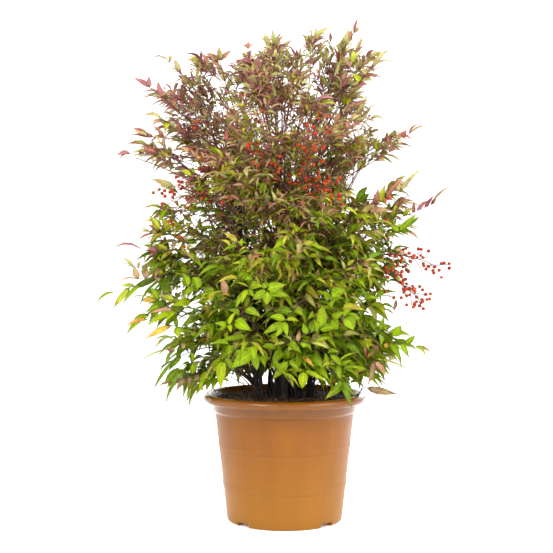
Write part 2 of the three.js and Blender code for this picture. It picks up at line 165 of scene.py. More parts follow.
def gridFaces(rows, columns):
    # four-cornered faces between the points of a grid, closed round each row
    i, j = np.meshgrid(np.arange(rows - 1), np.arange(columns), indexing="ij")
    k = (j + 1) % columns
    faces = [i * columns + j, (i + 1) * columns + j, (i + 1) * columns + k, i * columns + k]
    return np.stack(faces, -1).reshape(-1, 4)


def capFaces(rows, columns):
    # fans that close a tube: its foot with the point after the grid, its tip with the next
    j = np.arange(columns)
    k = (j + 1) % columns
    foot, tip = np.full(columns, rows * columns), np.full(columns, rows * columns + 1)
    last = (rows - 1) * columns
    return np.concatenate([np.stack([foot, j, k], -1), np.stack([tip, last + k, last + j], -1)])


def repeated(faces, count, step):
    # the same faces for each of so many shapes, whose points follow each other in steps
    return (faces[None] + step * np.arange(count)[:, None, None]).reshape(-1, faces.shape[1])


def closedRings(rings, ends, flat, tone=None):
    # closed surfaces, each from rows of rings: faces between the rings, and a fan to a point at either end
    count, rows, columns = rings.shape[:3]
    step = rows * columns + 2
    shape = {
        "points": np.concatenate([rings.reshape(count, -1, 3), ends], 1).reshape(-1, 3),
        "quads": repeated(gridFaces(rows, columns), count, step),
        "tris": repeated(capFaces(rows, columns), count, step),
        "uv": np.tile(flat, (count, 1)),
    }
    if tone is not None:
        shape["tone"] = np.repeat(tone, step)
    return shape


def turnedOver(shape):
    # the same shape with its faces looking the other way
    return {**shape, "quads": shape["quads"][:, ::-1], "tris": shape["tris"][:, ::-1]}


def tubes(paths, radii, sides):
    # tapering limbs: round each point of a path a ring of that radius, square to the path
    radii = radii[..., None] if radii.ndim == 2 else radii
    tangent = unit(np.gradient(paths, axis=1))
    mean = unit(paths[:, -1] - paths[:, 0])
    reference = np.where(np.abs(mean[:, 2:]) > 0.9, np.array([[0.0, 1.0, 0.0]]), up[None])
    side = unit(np.cross(tangent, reference[:, None]))
    lift = np.cross(side, tangent)
    turn = np.arange(sides) * 2 * np.pi / sides
    ring = side[:, :, None] * np.cos(turn)[:, None] + lift[:, :, None] * np.sin(turn)[:, None]
    rows = paths.shape[1]
    flat = np.stack([np.repeat(np.linspace(0, 1, rows), sides), np.tile(turn / (2 * np.pi), rows)], -1)
    flat = np.concatenate([flat, [[0, 0.5], [1, 0.5]]])
    ends = np.stack([paths[:, 0], paths[:, -1]], 1)
    return closedRings(paths[:, :, None] + radii[..., None] * ring, ends, flat)


def stalkTubes(curves, ends, steps, sides):
    # tubes along quadratic curves, tapering evenly from one radius to the other
    paths = onCurve(curves[:, None], np.linspace(0, 1, steps)[None])
    return tubes(paths, np.broadcast_to(np.linspace(*ends, steps), paths.shape[:2]), sides)


def joined(shapes):
    # several shapes as one, with the numbers of their points moved on
    shapes = [shape for shape in shapes if len(shape["points"])]
    starts = np.cumsum([0] + [len(shape["points"]) for shape in shapes[:-1]])
    whole = {}
    for key in shapes[0]:
        moved = [s[key] + (start if key in ("quads", "tris") else 0) for s, start in zip(shapes, starts)]
        whole[key] = np.concatenate(moved)
    return whole


def writeMesh(name, shape, creases):
    # the faces with four corners come first, then those with three
    mesh = bpy.data.meshes.new(name)
    quads, tris = shape["quads"], shape["tris"]
    corners = np.concatenate([quads.ravel(), tris.ravel()]).astype(np.int32)
    sizes = np.concatenate([np.full(len(quads), 4), np.full(len(tris), 3)])
    starts = np.concatenate([[0], np.cumsum(sizes)[:-1]]).astype(np.int32)
    mesh.vertices.add(len(shape["points"]))
    mesh.vertices.foreach_set("co", (shape["points"] * metres).astype(np.float32).ravel())
    mesh.loops.add(len(corners))
    mesh.loops.foreach_set("vertex_index", corners)
    mesh.polygons.add(len(sizes))
    mesh.polygons.foreach_set("loop_start", starts)
    mesh.update(calc_edges=True)
    mesh.shade_smooth()
    mesh.uv_layers.new(name="UVMap").data.foreach_set("uv", shape["uv"][corners].astype(np.float32).ravel())
    if "tone" in shape:
        tone = mesh.attributes.new("tone", "FLOAT", "POINT")
        tone.data.foreach_set("value", shape["tone"].astype(np.float32))
    if creases is not None:
        ends = np.zeros(len(mesh.edges) * 2, np.int32)
        mesh.edges.foreach_get("vertices", ends)
        sharp = np.all(creases[ends.reshape(-1, 2)], 1)
        mesh.attributes.new("sharp_edge", "BOOLEAN", "EDGE").data.foreach_set("value", sharp)
    return mesh


def addPiece(name, shape, material, nodes, creases=None):
    # nodes: the solids that the piece stands for, if it stands for any
    mesh = writeMesh(name, shape, creases)
    mesh.materials.append(material)
    piece = bpy.data.objects.new(name, mesh)
    scene.collection.objects.link(piece)
    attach(piece, "root")
    if nodes:
        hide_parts(*nodes)
    print(name, len(shape["quads"]) * 2 + len(shape["tris"]), "triangles")


def linear(*rgb):
    # a colour given from 0 to 255 as a screen shows it
    c = np.array(rgb) / 255
    return tuple(np.where(c <= 0.04045, c / 12.92, ((c + 0.055) / 1.055) ** 2.4)) + (1.0,)


class Paint:
    # a material's nodes, each added with its inputs as numbers or as other nodes' outputs
    def __init__(self, name):
        self.material = bpy.data.materials.new(name)
        self.material.use_nodes = True
        self.tree = self.material.node_tree
        self.shader = self.tree.nodes["Principled BSDF"]

    def add(self, kind, output=0, inputs=None, **settings):
        node = self.tree.nodes.new("ShaderNode" + kind)
        for key, value in settings.items():
            setattr(node, key, value)
        self.feed(node, inputs or {})
        return node.outputs[output]

    def feed(self, node, inputs):
        for key, value in inputs.items():
            if isinstance(value, bpy.types.NodeSocket):
                self.tree.links.new(value, node.inputs[key])
            else:
                node.inputs[key].default_value = value

    def finish(self, **inputs):
        self.feed(self.shader, {key.replace("_", " "): value for key, value in inputs.items()})
        return self.material

    def place(self):
        # each point's own place in the piece, in metres
        return self.add("TexCoord", "Object")

    def parts(self, vector):
        # its x, y and z
        return self.add("SeparateXYZ", 0, {0: vector}).node.outputs

    def uv(self):
        return self.parts(self.add("UVMap", 0, uv_map="UVMap"))

    def tone(self):
        # the piece's own number at each point
        return self.add("Attribute", "Fac", attribute_name="tone")

    def math(self, operation, a, b=0.0):
        return self.add("Math", 0, {0: a, 1: b}, operation=operation)

    def noise(self, scale, detail, at):
        return self.add("TexNoise", "Fac", {"Vector": at, "Scale": scale, "Detail": detail})

    def span(self, value, low, high, to0=0.0, to1=1.0):
        # to0 below low, to1 above high, and an even slope between them
        return self.add("MapRange", 0, {"Value": value, 1: low, 2: high, 3: to0, 4: to1})

    def mix(self, share, a, b):
        node = self.tree.nodes.new("ShaderNodeMix")
        node.data_type = "RGBA"
        self.feed(node, {0: share, 6: a, 7: b})
        return node.outputs[2]

    def over(self, under, rgb, value, low, high, most=1.0):
        # a colour laid over another where a value is past high, thinning out towards low
        return self.mix(self.span(value, low, high, 0, most), under, linear(*rgb))

    def bump(self, height, distance, strength):
        return self.add("Bump", 0, {"Height": height, "Distance": distance, "Strength": strength})


floorFacts = {"level": 1600, "bendFrom": 3300, "bend": 1300, "top": 3800, "sides": 96}


def paintFloor():
    # nearly white, with faint clouds
    p = Paint("paleFloor")
    tone = p.mix(p.noise(0.6, 2, p.place()), linear(246, 246, 245), linear(251, 251, 250))
    return p.finish(Base_Color=tone, Roughness=0.9, Emission_Color=(1, 1, 1, 1), Emission_Strength=0.12)


def layFloor():
    # a flat round floor that sweeps up all round: a radius turned about the upright axis, with a
    # quarter circle between the floor and the wall
    f = floorFacts
    bend = np.linspace(0, np.pi / 2, 17)
    outer = f["bendFrom"] + f["bend"]
    radius = np.concatenate([[1, f["level"]], f["bendFrom"] + f["bend"] * np.sin(bend), [outer]])
    rise = np.concatenate([[0, 0], f["bend"] * (1 - np.cos(bend)), [f["top"]]])
    points = around(radius[:, None], np.arange(f["sides"]) * 2 * np.pi / f["sides"], rise[:, None])
    faces = gridFaces(len(radius), f["sides"]).tolist() + [list(range(f["sides"]))]
    mesh = bpy.data.meshes.new("floor")
    mesh.from_pydata((points.reshape(-1, 3) * metres).tolist(), [], faces)
    mesh.shade_smooth()
    mesh.materials.append(paintFloor())
    floor = bpy.data.objects.new("floor", mesh)
    scene.collection.objects.link(floor)


layFloor()
print("floor laid")

pot = {
    "height": 233, "foot": 106, "draft": 0.113, "wall": 2.8, "pad": 62, "channel": 7, "footRing": 13,
    "collarFoot": 203, "collar": 133.5, "rim": 150, "rimDepth": 15, "mouth": 136, "throat": 1.8,
    "bands": (62, 134), "bandHeight": 10, "bandRise": 0.8, "groove": 0.45,
    "notches": 4, "notchWidth": 28, "notchHeight": 6.5, "notchTop": 7.4, "notchFrom": 88, "sides": 192,
}


def wallAt(z):
    # the outer wall's radius grows evenly with its height
    return pot["foot"] + pot["draft"] * z


def roundedProfile(corners, steps=4):
    # each corner of a profile turned into a short arc that starts and ends its radius away
    points = np.array([corner[:2] for corner in corners], float)
    radius = np.array([corner[2] if len(corner) > 2 else 0.0 for corner in corners])
    before, after = np.roll(points, 1, 0), np.roll(points, -1, 0)
    before[0], after[-1] = points[0], points[-1]
    reach = lambda other: np.minimum(radius, 0.48 * np.linalg.norm(other - points, axis=1))[:, None]
    start = points + unit(before - points) * reach(before)
    end = points + unit(after - points) * reach(after)
    arcs = onCurve(np.stack([start, points, end], 1)[:, None], np.linspace(0, 1, steps)[None])
    kept = [arc if r else point[None] for arc, r, point in zip(arcs, radius, points)]
    return np.concatenate(kept)


def bandCorners(bottom):
    # a fine groove under a raised band, and the band itself
    top, rise, groove = bottom + pot["bandHeight"], pot["bandRise"], pot["groove"]
    return [
        (wallAt(bottom - 2.4), bottom - 2.4, 0.5), (wallAt(bottom - 1.8) - groove, bottom - 1.8, 0.4),
        (wallAt(bottom - 1.2), bottom - 1.2, 0.4), (wallAt(bottom), bottom, 0.5),
        (wallAt(bottom) + rise, bottom + 0.8, 0.7), (wallAt(top) + rise, top - 0.8, 0.7),
        (wallAt(top), top, 0.5), (wallAt(top + 20), top + 20),
    ]


def potProfile():
    # radius, height and rounding of each corner: pad, drain channel, foot ring, wall, collar, rim, inner wall
    p = pot
    ring, rimFoot = wallAt(0) - p["footRing"], p["height"] - p["rimDepth"]
    corners = [
        (p["pad"], 0, 1), (p["pad"] + 3, p["channel"], 2), (ring - 3, p["channel"], 2), (ring, 0, 1),
        (wallAt(0) - 0.5, 0, 2.5), (wallAt(8), 8), (wallAt(30), 30),
    ]
    for bottom in p["bands"]:
        corners += bandCorners(bottom)
    corners += [
        (wallAt(180), 180), (wallAt(p["collarFoot"] - 4), p["collarFoot"] - 4, 2),
        (p["collar"], p["collarFoot"], 2), (p["collar"] + 1, rimFoot - 0.4, 2),
        (p["rim"] - 2.6, rimFoot, 1.6), (p["rim"], rimFoot + 3, 2.6), (p["rim"], p["height"] - 4.5, 4.4),
        (p["rim"] - 5, p["height"], 4), (p["mouth"] + 3, p["height"], 3), (p["mouth"], p["height"] - 4, 3),
        (wallAt(p["collarFoot"]) - p["throat"], p["collarFoot"], 2),
        (wallAt(p["channel"] + p["wall"]) - p["wall"], p["channel"] + p["wall"], 2),
    ]
    return roundedProfile(corners)


def notchAngles():
    # even angles, with extra ones just beside each notch's edges so that those are steep
    even = np.arange(pot["sides"]) * 2 * np.pi / pot["sides"]
    middle = (np.arange(pot["notches"]) + 0.5) * 2 * np.pi / pot["notches"]
    half = pot["notchWidth"] / 2 / pot["foot"]
    edges = (middle[:, None] + half * np.array([-1.03, -0.985, 0.985, 1.03])).ravel()
    even = even[np.min(np.abs(even[:, None] - edges), 1) > 0.008]
    angles = np.sort(np.concatenate([even, edges]))
    inNotch = np.min(np.abs(angles[:, None] - middle), 1) < half
    return angles, inNotch


def makePot():
    # a profile turned round the upright axis; within a notch the foot ring's underside is lifted
    profile = potProfile()
    angles, inNotch = notchAngles()
    radius, z = profile[:, 0][:, None], profile[:, 1][:, None]
    lift, top = pot["notchHeight"], pot["notchTop"]
    raised = np.where((z < top) & (radius > pot["notchFrom"]) & inNotch, lift + z * (top - lift) / top, z)
    u, v = np.broadcast_arrays(angles / (2 * np.pi), z / pot["height"])
    flat = np.concatenate([np.stack([u, v], -1).reshape(-1, 2), [[0.5, 0], [0.5, 0]]])
    ends = np.array([[[0, 0, profile[0, 1]], [0, 0, profile[-1, 1]]]])
    return turnedOver(closedRings(around(radius, angles, raised)[None], ends, flat))


def paintPot():
    # streaks and clouds, a foot painted paler as light from the floor below, a collar painted deeper as shade
    # under the crown and made glossier, specks of dust, and fine turned rings
    p = Paint("terracottaPlastic")
    at = p.place()
    level = p.parts(at)[2]
    streak = p.noise(1, 3, p.add("Mapping", 0, {"Vector": at, "Scale": (26, 26, 2.2)}))
    cloud = p.noise(9, 3, at)
    tone = p.over(linear(116, 65, 2), (128, 74, 4), streak, 0.35, 0.7)
    tone = p.over(tone, (128, 72, 5), cloud, 0.45, 0.75, 0.35)
    # painted light: the colour grows paler towards the foot, as if lit from the floor below
    tone = p.over(tone, (152, 102, 22), level, 0.16, 0.02, 0.55)
    # painted shade: the collar and rim are painted deeper, as in the shade of the crown above
    tone = p.over(tone, (104, 58, 0), level, 0.17, 0.2, 0.75)
    tone = p.over(tone, (180, 122, 56), p.noise(420, 2, at), 0.66, 0.78, 0.25)
    rings = p.add("TexWave", "Fac", {"Vector": at, "Scale": 95, "Distortion": 0.6}, bands_direction="Z")
    grain = p.math("MULTIPLY", p.noise(900, 2, at), 0.6)
    height = p.math("ADD", grain, p.math("MULTIPLY", rings, 0.25))
    gloss = p.math("SUBTRACT", p.span(cloud, 0.3, 0.8, 0.36, 0.5), p.span(level, 0.195, 0.205, 0, 0.2))
    return p.finish(
        Base_Color=tone, Roughness=gloss, Specular_IOR_Level=0.22, Normal=p.bump(height, 0.0002, 0.35),
        Coat_Weight=p.span(level, 0.195, 0.205, 0.08, 0.3), Coat_Roughness=0.12,
        Subsurface_Weight=0.06, Subsurface_Radius=(0.008, 0.003, 0.001),
    )


addPiece("pot_shell", makePot(), paintPot(), ["pot"])

compost = {
    "top": 226, "edge": 222, "fall": 4, "mound": 78, "gap": 0.4, "sides": 120, "rings": 44,
    "lump": 3.2, "largeLumps": 19, "smallLumps": 7,
}
chips = {"count": 560, "length": (3.5, 14.5), "radius": (0.9, 2.5), "tilt": 3.5, "clear": 7, "above": 0.8}


def throatAt(z):
    # radius of the pot's inner face above the collar's foot
    low = wallAt(pot["collarFoot"]) - pot["throat"]
    share = (z - pot["collarFoot"]) / (pot["height"] - 4 - pot["collarFoot"])
    return low + (pot["mouth"] - low) * share


def compostHeight(x, y):
    # a low mound with lumps of two sizes, level at the wall
    radius = np.hypot(x, y)
    share = np.clip((radius - compost["mound"]) / (throatAt(compost["edge"]) - compost["mound"]), 0, 1)
    p = np.stack([x, y, np.zeros_like(x)], -1)
    lumps = 0.65 * rough(p, compost["largeLumps"]) + 0.35 * rough(p + 40, compost["smallLumps"])
    dip = compost["lump"] * (0.5 - 0.5 * lumps) * (1 - 0.4 * share)
    return compost["top"] - compost["fall"] * share - dip


def makeCompost():
    # a round grid whose height is the mound's, then a skirt down inside the wall and a flat underside
    edge = throatAt(compost["edge"]) - compost["gap"]
    radius = edge * np.linspace(0.01, 1, compost["rings"])[::-1]
    angles = np.arange(compost["sides"]) * 2 * np.pi / compost["sides"]
    top = around(radius[:, None], angles, 0.0)
    top[..., 2] = compostHeight(top[..., 0], top[..., 1])
    low = pot["channel"] + pot["wall"] + compost["gap"]
    bottom = around(wallAt(low) - pot["wall"] - 1, angles, low)
    middle = around(wallAt(pot["collarFoot"]) - 2.4, angles, pot["collarFoot"])
    rings = np.concatenate([np.stack([bottom, middle]), top])
    ends = np.array([[0, 0, low], [0, 0, compostHeight(np.zeros(1), np.zeros(1))[0]]])
    flat = np.concatenate([rings.reshape(-1, 3), ends])[:, :2] / 300 + 0.5
    return turnedOver(closedRings(rings[None], ends[None], flat))


def makeChips():
    # splinters of bark: short tubes of uneven radius, flatter on two of five sides, lying on the compost
    n = np.arange(chips["count"])
    radius = (throatAt(compost["edge"]) - chips["clear"]) * np.sqrt(chance(n, 1, 31))
    place = polar(radius, 360 * chance(n, 2, 31), 0 * n)
    length = between(chips["length"], chance(n, 3, 31) ** 2)
    heading = polar(length, 360 * chance(n, 4, 31), chips["tilt"] * swing(n, 5, 31))
    place[:, 2] = compostHeight(place[:, 0], place[:, 1]) + chips["above"]
    paths = place[:, None] + np.array([-0.5, -0.18, 0.2, 0.5])[:, None] * heading[:, None]
    row, side = np.arange(4)[None, :, None], np.arange(5)
    uneven = 0.55 + 0.6 * chance(n[:, None, None] + side, row, 32)
    radii = between(chips["radius"], chance(n, 6, 31))[:, None, None] * uneven * np.where(side < 3, 1.0, 0.55)
    return tubes(paths, radii * np.array([0.5, 1, 0.95, 0.4])[None, :, None], 5)


def paintCompost():
    # crumbs of two browns with lighter patches
    p = Paint("darkCompost")
    at = p.place()
    crumbs = p.noise(260, 5, at)
    tone = p.over(linear(26, 17, 11), (60, 40, 26), crumbs, 0.4, 0.7)
    tone = p.over(tone, (92, 62, 38), p.noise(90, 3, at), 0.62, 0.75, 0.5)
    height = p.math("ADD", crumbs, p.math("MULTIPLY", p.noise(700, 3, at), 0.5))
    return p.finish(Base_Color=tone, Roughness=0.95, Normal=p.bump(height, 0.0025, 0.9))


def paintChips():
    # dark and light brown along a coarse grain
    p = Paint("barkChips")
    grain = p.noise(160, 4, p.place())
    tone = p.over(linear(40, 25, 17), (122, 84, 50), grain, 0.35, 0.7)
    return p.finish(Base_Color=tone, Roughness=0.85, Normal=p.bump(grain, 0.001, 0.7))


addPiece("compost_bed", makeCompost(), paintCompost(), ["compost"])
addPiece("bark_chips", makeChips(), paintChips(), [])

canes = {
    "outer": {"count": 4, "footReach": 44, "topReach": 84, "top": 560},
    "inner": {"count": 3, "footReach": 17, "topReach": 30, "top": 640},
    "footUnrest": 0.2, "topUnrest": 12, "turnUnrest": 8, "upright": 0.3, "standOn": 226.3, "sunk": 6,
    "footRadius": 5.4, "tipRadius": 2.8, "flare": 2.4, "flareHeight": 14,
    "knot": 0.9, "knotGap": 34, "knotWidth": 0.055, "furrow": 0.07, "sides": 18, "rings": 110,
}


def caneCurves():
    # each cane starts upright at its foot and leans out evenly to its top
    curves, azimuths = [], []
    for kind, start in (("outer", 180), ("inner", 0)):
        facts = canes[kind]
        for i in range(facts["count"]):
            index = len(curves)
            azimuth = start + i * 360 / facts["count"]
            reach = facts["footReach"] * (1 + canes["footUnrest"] * swing(index, 1, 1))
            foot = polar(reach, azimuth, canes["standOn"])
            height = facts["top"] - canes["topUnrest"] * chance(index, 1, 3)
            top = polar(facts["topReach"], azimuth + canes["turnUnrest"] * swing(index, 1, 2), height)
            curves.append([foot, foot + up * canes["upright"] * (top[2] - foot[2]), top])
            azimuths.append(azimuth)
    return np.array(curves), np.array(azimuths)


caneCurve, caneAzimuth = caneCurves()


def makeCanes():
    # radius: an even taper and a root flare, with knots at the leaf scars and furrows along the bark
    share = np.linspace(0, 1, canes["rings"])
    paths = onCurve(caneCurve[:, None], share[None])
    paths[:, 0, 2] -= canes["sunk"]
    height = (caneCurve[:, 2, 2] - caneCurve[:, 0, 2])[:, None]
    base = canes["footRadius"] + (canes["tipRadius"] - canes["footRadius"]) * share
    base = base + canes["flare"] * np.exp(-share * height / canes["flareHeight"])
    index = np.arange(len(caneCurve))[:, None]
    along = share * height / canes["knotGap"] + 0.3 * index
    knot = np.exp(-(((along % 1) - 0.5) / canes["knotWidth"]) ** 2) * canes["knot"]
    turn, index = np.arange(canes["sides"]) * 2 * np.pi / canes["sides"], index[..., None]
    ridge = np.sin(5 * turn + 2.2 * np.sin(3 * share[:, None] + index)) + 0.6 * np.sin(9 * turn + index)
    crack = rough(np.stack(np.broadcast_arrays(turn * 3, share[:, None] * 40, index * 9.0), -1), 1.0)
    radii = (base + knot)[:, :, None] * (1 + canes["furrow"] * (0.5 * ridge + 0.9 * crack))
    return tubes(paths, radii, canes["sides"])


young = {
    "count": 30, "foot": (6, 52), "footHeight": 219, "top": (30, 100), "height": (330, 480),
    "turnUnrest": 40, "lean": 56, "upright": 0.45, "bend": 16, "radius": 2.5, "tip": 1.2,
    "knot": 0.35, "knots": 7, "knotWidth": 0.09,
}


def makeYoungCanes():
    # thin shoots between the canes: each starts upright and leans out, its foot and tip picked at random
    n = np.arange(young["count"])
    pick = lambda key, i: between(young[key], chance(n, i, 34))
    azimuth = 360 * n / young["count"] + young["turnUnrest"] * swing(n, 2, 34)
    foot = polar(pick("foot", 3), azimuth, 0 * n + young["footHeight"])
    tip = polar(pick("top", 4), azimuth + young["lean"] * swing(n, 5, 34), pick("height", 6))
    aside = young["bend"] * np.stack([swing(n, 7, 34), swing(n, 8, 34), 0 * n], -1)
    bend = foot + up * young["upright"] * (tip - foot)[:, [2]] + aside
    share = np.linspace(0, 1, 24)
    paths = onCurve(np.stack([foot, bend, tip], 1)[:, None], share[None])
    along = (share * young["knots"] + chance(n, 9, 34)[:, None]) % 1
    knots = young["knot"] * np.exp(-((along - 0.5) / young["knotWidth"]) ** 2)
    return tubes(paths, young["radius"] + (young["tip"] - young["radius"]) * share + knots, 8)


def paintBark():
    # long dark strands with greyer patches
    p = Paint("darkCaneBark")
    at = p.place()
    grain = p.noise(1, 4, p.add("Mapping", 0, {"Vector": at, "Scale": (420, 420, 30)}))
    tone = p.over(linear(18, 10, 10), (44, 28, 24), grain, 0.35, 0.68)
    tone = p.over(tone, (58, 42, 36), p.noise(30, 2, at), 0.55, 0.75, 0.5)
    return p.finish(Base_Color=tone, Roughness=0.82, Normal=p.bump(grain, 0.0012, 0.8))


addPiece("cane_bark", makeCanes(), paintBark(), [f"cane_{i + 1}" for i in range(7)])
addPiece("young_canes", makeYoungCanes(), bpy.data.materials["darkCaneBark"], [])

tierNames = ["skirt", "low", "middle", "shoulder", "upper", "high", "top"]
tierRings = {  # the rings of large leaves: one number for each tier, from the skirt to the top
    "count": (6, 6, 6, 6, 5, 4, 3),
    "base": (272, 330, 396, 462, 498, 0, 0),  # where they leave the canes, 0 for the canes' tops
    "to": (284, 384, 515, 652, 782, 862, 896),  # height of their tips
    "tilt": (14, -24, 0, -28, -58, 0, 28),  # how much higher the tips are at the right
    "left": (300, 350, 319, 313, 282, 235, 170),  # reach to the left
    "right": (262, 236, 271, 309, 262, 205, 150),  # and to the right
    "bow": (40, 54, 60, 84, 112, 92, 40),  # how far a leaf's path is lifted off the straight line
    "turn": (14, -14, 14, -14, 0, 0, 180),
}
tiers = [dict(zip(tierRings, numbers)) for numbers in zip(*tierRings.values())]
tierLooks = {  # one number for each tier, from the skirt to the top
    "roll": (0.9, 0.8, 0.7, 0.6, 0.5, 0.5, 0.6),  # how far the pinnae are rolled out of the leaf's plane
    "level": (0.85, 0.8, 0.72, 0.68, 0.7, 0.76, 0.95),  # share of their rise that is kept
    "hang": (0.02, 0.0, 0.04, 0.04, 0.02, -0.02, -0.06),  # how far a leaflet turns down
    "leaflet": (40, 38, 34, 31, 29, 28, 28),
    "width": (0.4, 0.39, 0.31, 0.26, 0.24, 0.24, 0.25),  # as a share of the length
    "gap": (22, 20, 15, 12.5, 11.5, 11.5, 11.5),  # between two pairs of leaflets
    "bare": (0.1, 0.14, 0.2, 0.26, 0.3, 0.34, 0.3),  # share of the leaf's path before its first pinna
    "pinnaAngle": (56, 56, 52, 46, 42, 40, 38),
    "leafletAngle": (54, 52, 48, 43, 40, 39, 39),
    "pinna": (0.96, 0.94, 0.9, 0.88, 0.86, 0.86, 0.84),
    "facing": (0.4, 0.4, 0.35, 0.3, 0.28, 0.28, 0.28),  # how far a leaflet's face turns outward
    "unrest": (0.65, 0.65, 0.6, 0.55, 0.5, 0.5, 0.5),  # and how far at random
}
crownReach = np.array([  # the crown's body: height, and how far it reaches to the left and right there
    (225, 190, 150), (270, 212, 158), (295, 204, 208), (315, 196, 216), (340, 208, 210), (380, 208, 176),
    (405, 242, 196), (430, 256, 208), (490, 262, 228), (535, 264, 206), (560, 254, 208), (600, 224, 190),
    (625, 190, 180), (650, 210, 152), (690, 268, 190), (715, 268, 186), (740, 236, 168), (780, 246, 146),
    (805, 224, 134), (825, 176, 128), (850, 128, 114), (870, 64, 104), (890, 18, 98), (935, -100, 94),
])
crownDepth = 0.98  # of its mean reach, to the front and back
arms = [  # leaves that fill the crown's edge: azimuth, reach, height of the tip, and the tier they look like
    (170, 150, 862, "high"), (187, 176, 852, "high"), (181, 252, 786, "upper"), (172, 252, 738, "upper"),
    (178, 276, 690, "shoulder"), (175, 262, 560, "middle"), (184, 252, 590, "middle"),
    (176, 262, 532, "middle"), (182, 268, 508, "middle"), (170, 276, 476, "middle"), (178, 268, 430, "low"),
    (184, 300, 412, "low"), (176, 236, 246, "skirt"), (188, 206, 234, "skirt"), (183, 250, 330, "low"),
    (-5, 176, 862, "high"), (7, 172, 838, "high"), (-3, 226, 716, "upper"), (4, 230, 700, "upper"),
    (1, 226, 630, "shoulder"), (7, 240, 596, "shoulder"), (-8, 244, 556, "middle"), (4, 236, 526, "middle"),
    (-3, 226, 484, "middle"), (5, 236, 334, "low"), (-2, 246, 318, "low"), (-8, 214, 284, "skirt"),
    (-16, 186, 240, "skirt"), (8, 176, 246, "skirt"), (-100, 168, 248, "skirt"), (-62, 172, 250, "skirt"),
    (-40, 172, 246, "skirt"), (-80, 150, 268, "skirt"), (-52, 150, 282, "skirt"), (-66, 136, 300, "skirt"),
    (-40, 140, 268, "skirt"), (110, 120, 266, "skirt"), (100, 150, 272, "skirt"), (80, 150, 284, "skirt"),
    (-88, 118, 776, "upper"), (-58, 104, 768, "upper"), (-104, 92, 792, "upper"), (179, 214, 706, "upper"),
    (187, 192, 684, "upper"), (168, 204, 656, "shoulder"), (194, 176, 640, "shoulder"),
    (-20, 132, 812, "high"), (-14, 142, 790, "high"), (-24, 150, 764, "upper"), (172, 292, 704, "shoulder"),
    (-75, 110, 862, "top"), (-82, 150, 806, "high"), (-72, 168, 762, "upper"), (-84, 172, 690, "upper"),
    (196, 110, 868, "top"), (238, 44, 893, "top"), (-32, 66, 906, "top"), (-10, 124, 900, "top"),
    (12, 150, 896, "top"), (100, 60, 905, "top"), (62, 268, 640, "shoulder"), (118, 262, 700, "upper"),
    (88, 280, 560, "middle"), (75, 236, 800, "high"), (110, 284, 430, "low"), (68, 276, 350, "low"),
    (95, 256, 290, "skirt"), (-62, 262, 720, "upper"), (-118, 258, 660, "shoulder"),
    (-86, 276, 540, "middle"), (-104, 226, 810, "high"), (-70, 272, 430, "low"), (-112, 268, 350, "low"),
    (-18, 208, 424, "low"), (-24, 160, 608, "middle"), (190, 292, 424, "low"), (-45, 182, 548, "middle"),
    (-40, 200, 580, "middle"), (-48, 186, 340, "low"), (-36, 190, 322, "low"),
]
goldenAngle = 137.5
growth = {
    "stepUp": 15, "wave": 26, "shyness": 0.06, "stalkRadius": 2.2, "lesserRadius": 1.3, "tipRadius": 0.6,
    "pinnaNodes": (0.16, 0.32, 0.48, 0.64, 0.79, 0.92), "pinnaLengths": (112, 116, 102, 84, 62, 36),
    "roll": 52, "rollStep": 7, "rollUnrest": 26, "angleUnrest": 8, "lengthUnrest": 0.12,
    "pinnaRadius": (0.75, 0.4), "pinnuleRadius": (0.5, 0.35), "sag": 0.1, "lift": 0.05,
    "pinnuleLength": 0.5, "pinnuleAngle": 52, "splayUnrest": 10, "hangUnrest": 0.34, "sizeUnrest": 0.26,
    "armScale": 0.56, "slack": 1.0, "armSlack": 9.0, "thinFrom": 0.45, "thinTo": 1.0, "thin": 0.6,
    "thinByKind": {"main": 0.45, "companion": 1, "inner": 1, "arm": 0},
    "overPot": 239, "besidePot": 216, "potReach": 164, "outOfBox": 4, "caneRoom": 9,
    "fanFrom": (-20.0, 0.0, 520.0), "fan": (0.5, 0.14), "fanBelow": 0.3, "endGap": 1.1,
    "innerBare": 0.4, "lastPairs": (0.86, 0.93, 1.0), "bladeUp": 0.75, "splayStep": 2, "leastShare": 0.1,
    "stems": (1, 0.45, 0.45),  # of a pinnule's middle and side leaflets, as shares of its stalk
    "sizes": (1.12, 0.98, 0.98, 0.86),  # of the leaflet at a pinna's tip, its first two pairs and the rest
    "sideSize": 0.86,  # of a pinnule's side leaflets
    "otherSlack": 1.03, "slackUnrest": 0.22, "pinnaLuck": 0.36, "leafletLuck": 0.34,
}


def caneToward(azimuth, isInner):
    # the outer or inner cane whose own azimuth is nearest
    group = np.arange(4, 7) if isInner else np.arange(4)
    return group[np.argmax(np.cos(np.radians(caneAzimuth[group] - azimuth)))]


def bowTo(foot, tip, bow, share=0.42):
    # from foot to tip, lifted off the straight line by bow at that share of the way
    return np.array([foot, foot + share * (tip - foot) + up * bow, tip])


def atHeight(curve, z):
    # where on a curve its evenly counted height is z
    return onCurve(curve, (z - curve[0, 2]) / (curve[2, 2] - curve[0, 2]))


def newSpray(tier, key, azimuth, curve, kind, first=0, scale=1.0):
    # a compound leaf: its path, the first pair of pinnae that it keeps, and their scale
    facts = {"tier": tier, "key": key, "azimuth": azimuth, "curve": curve}
    return {**facts, "kind": kind, "first": first, "scale": scale}


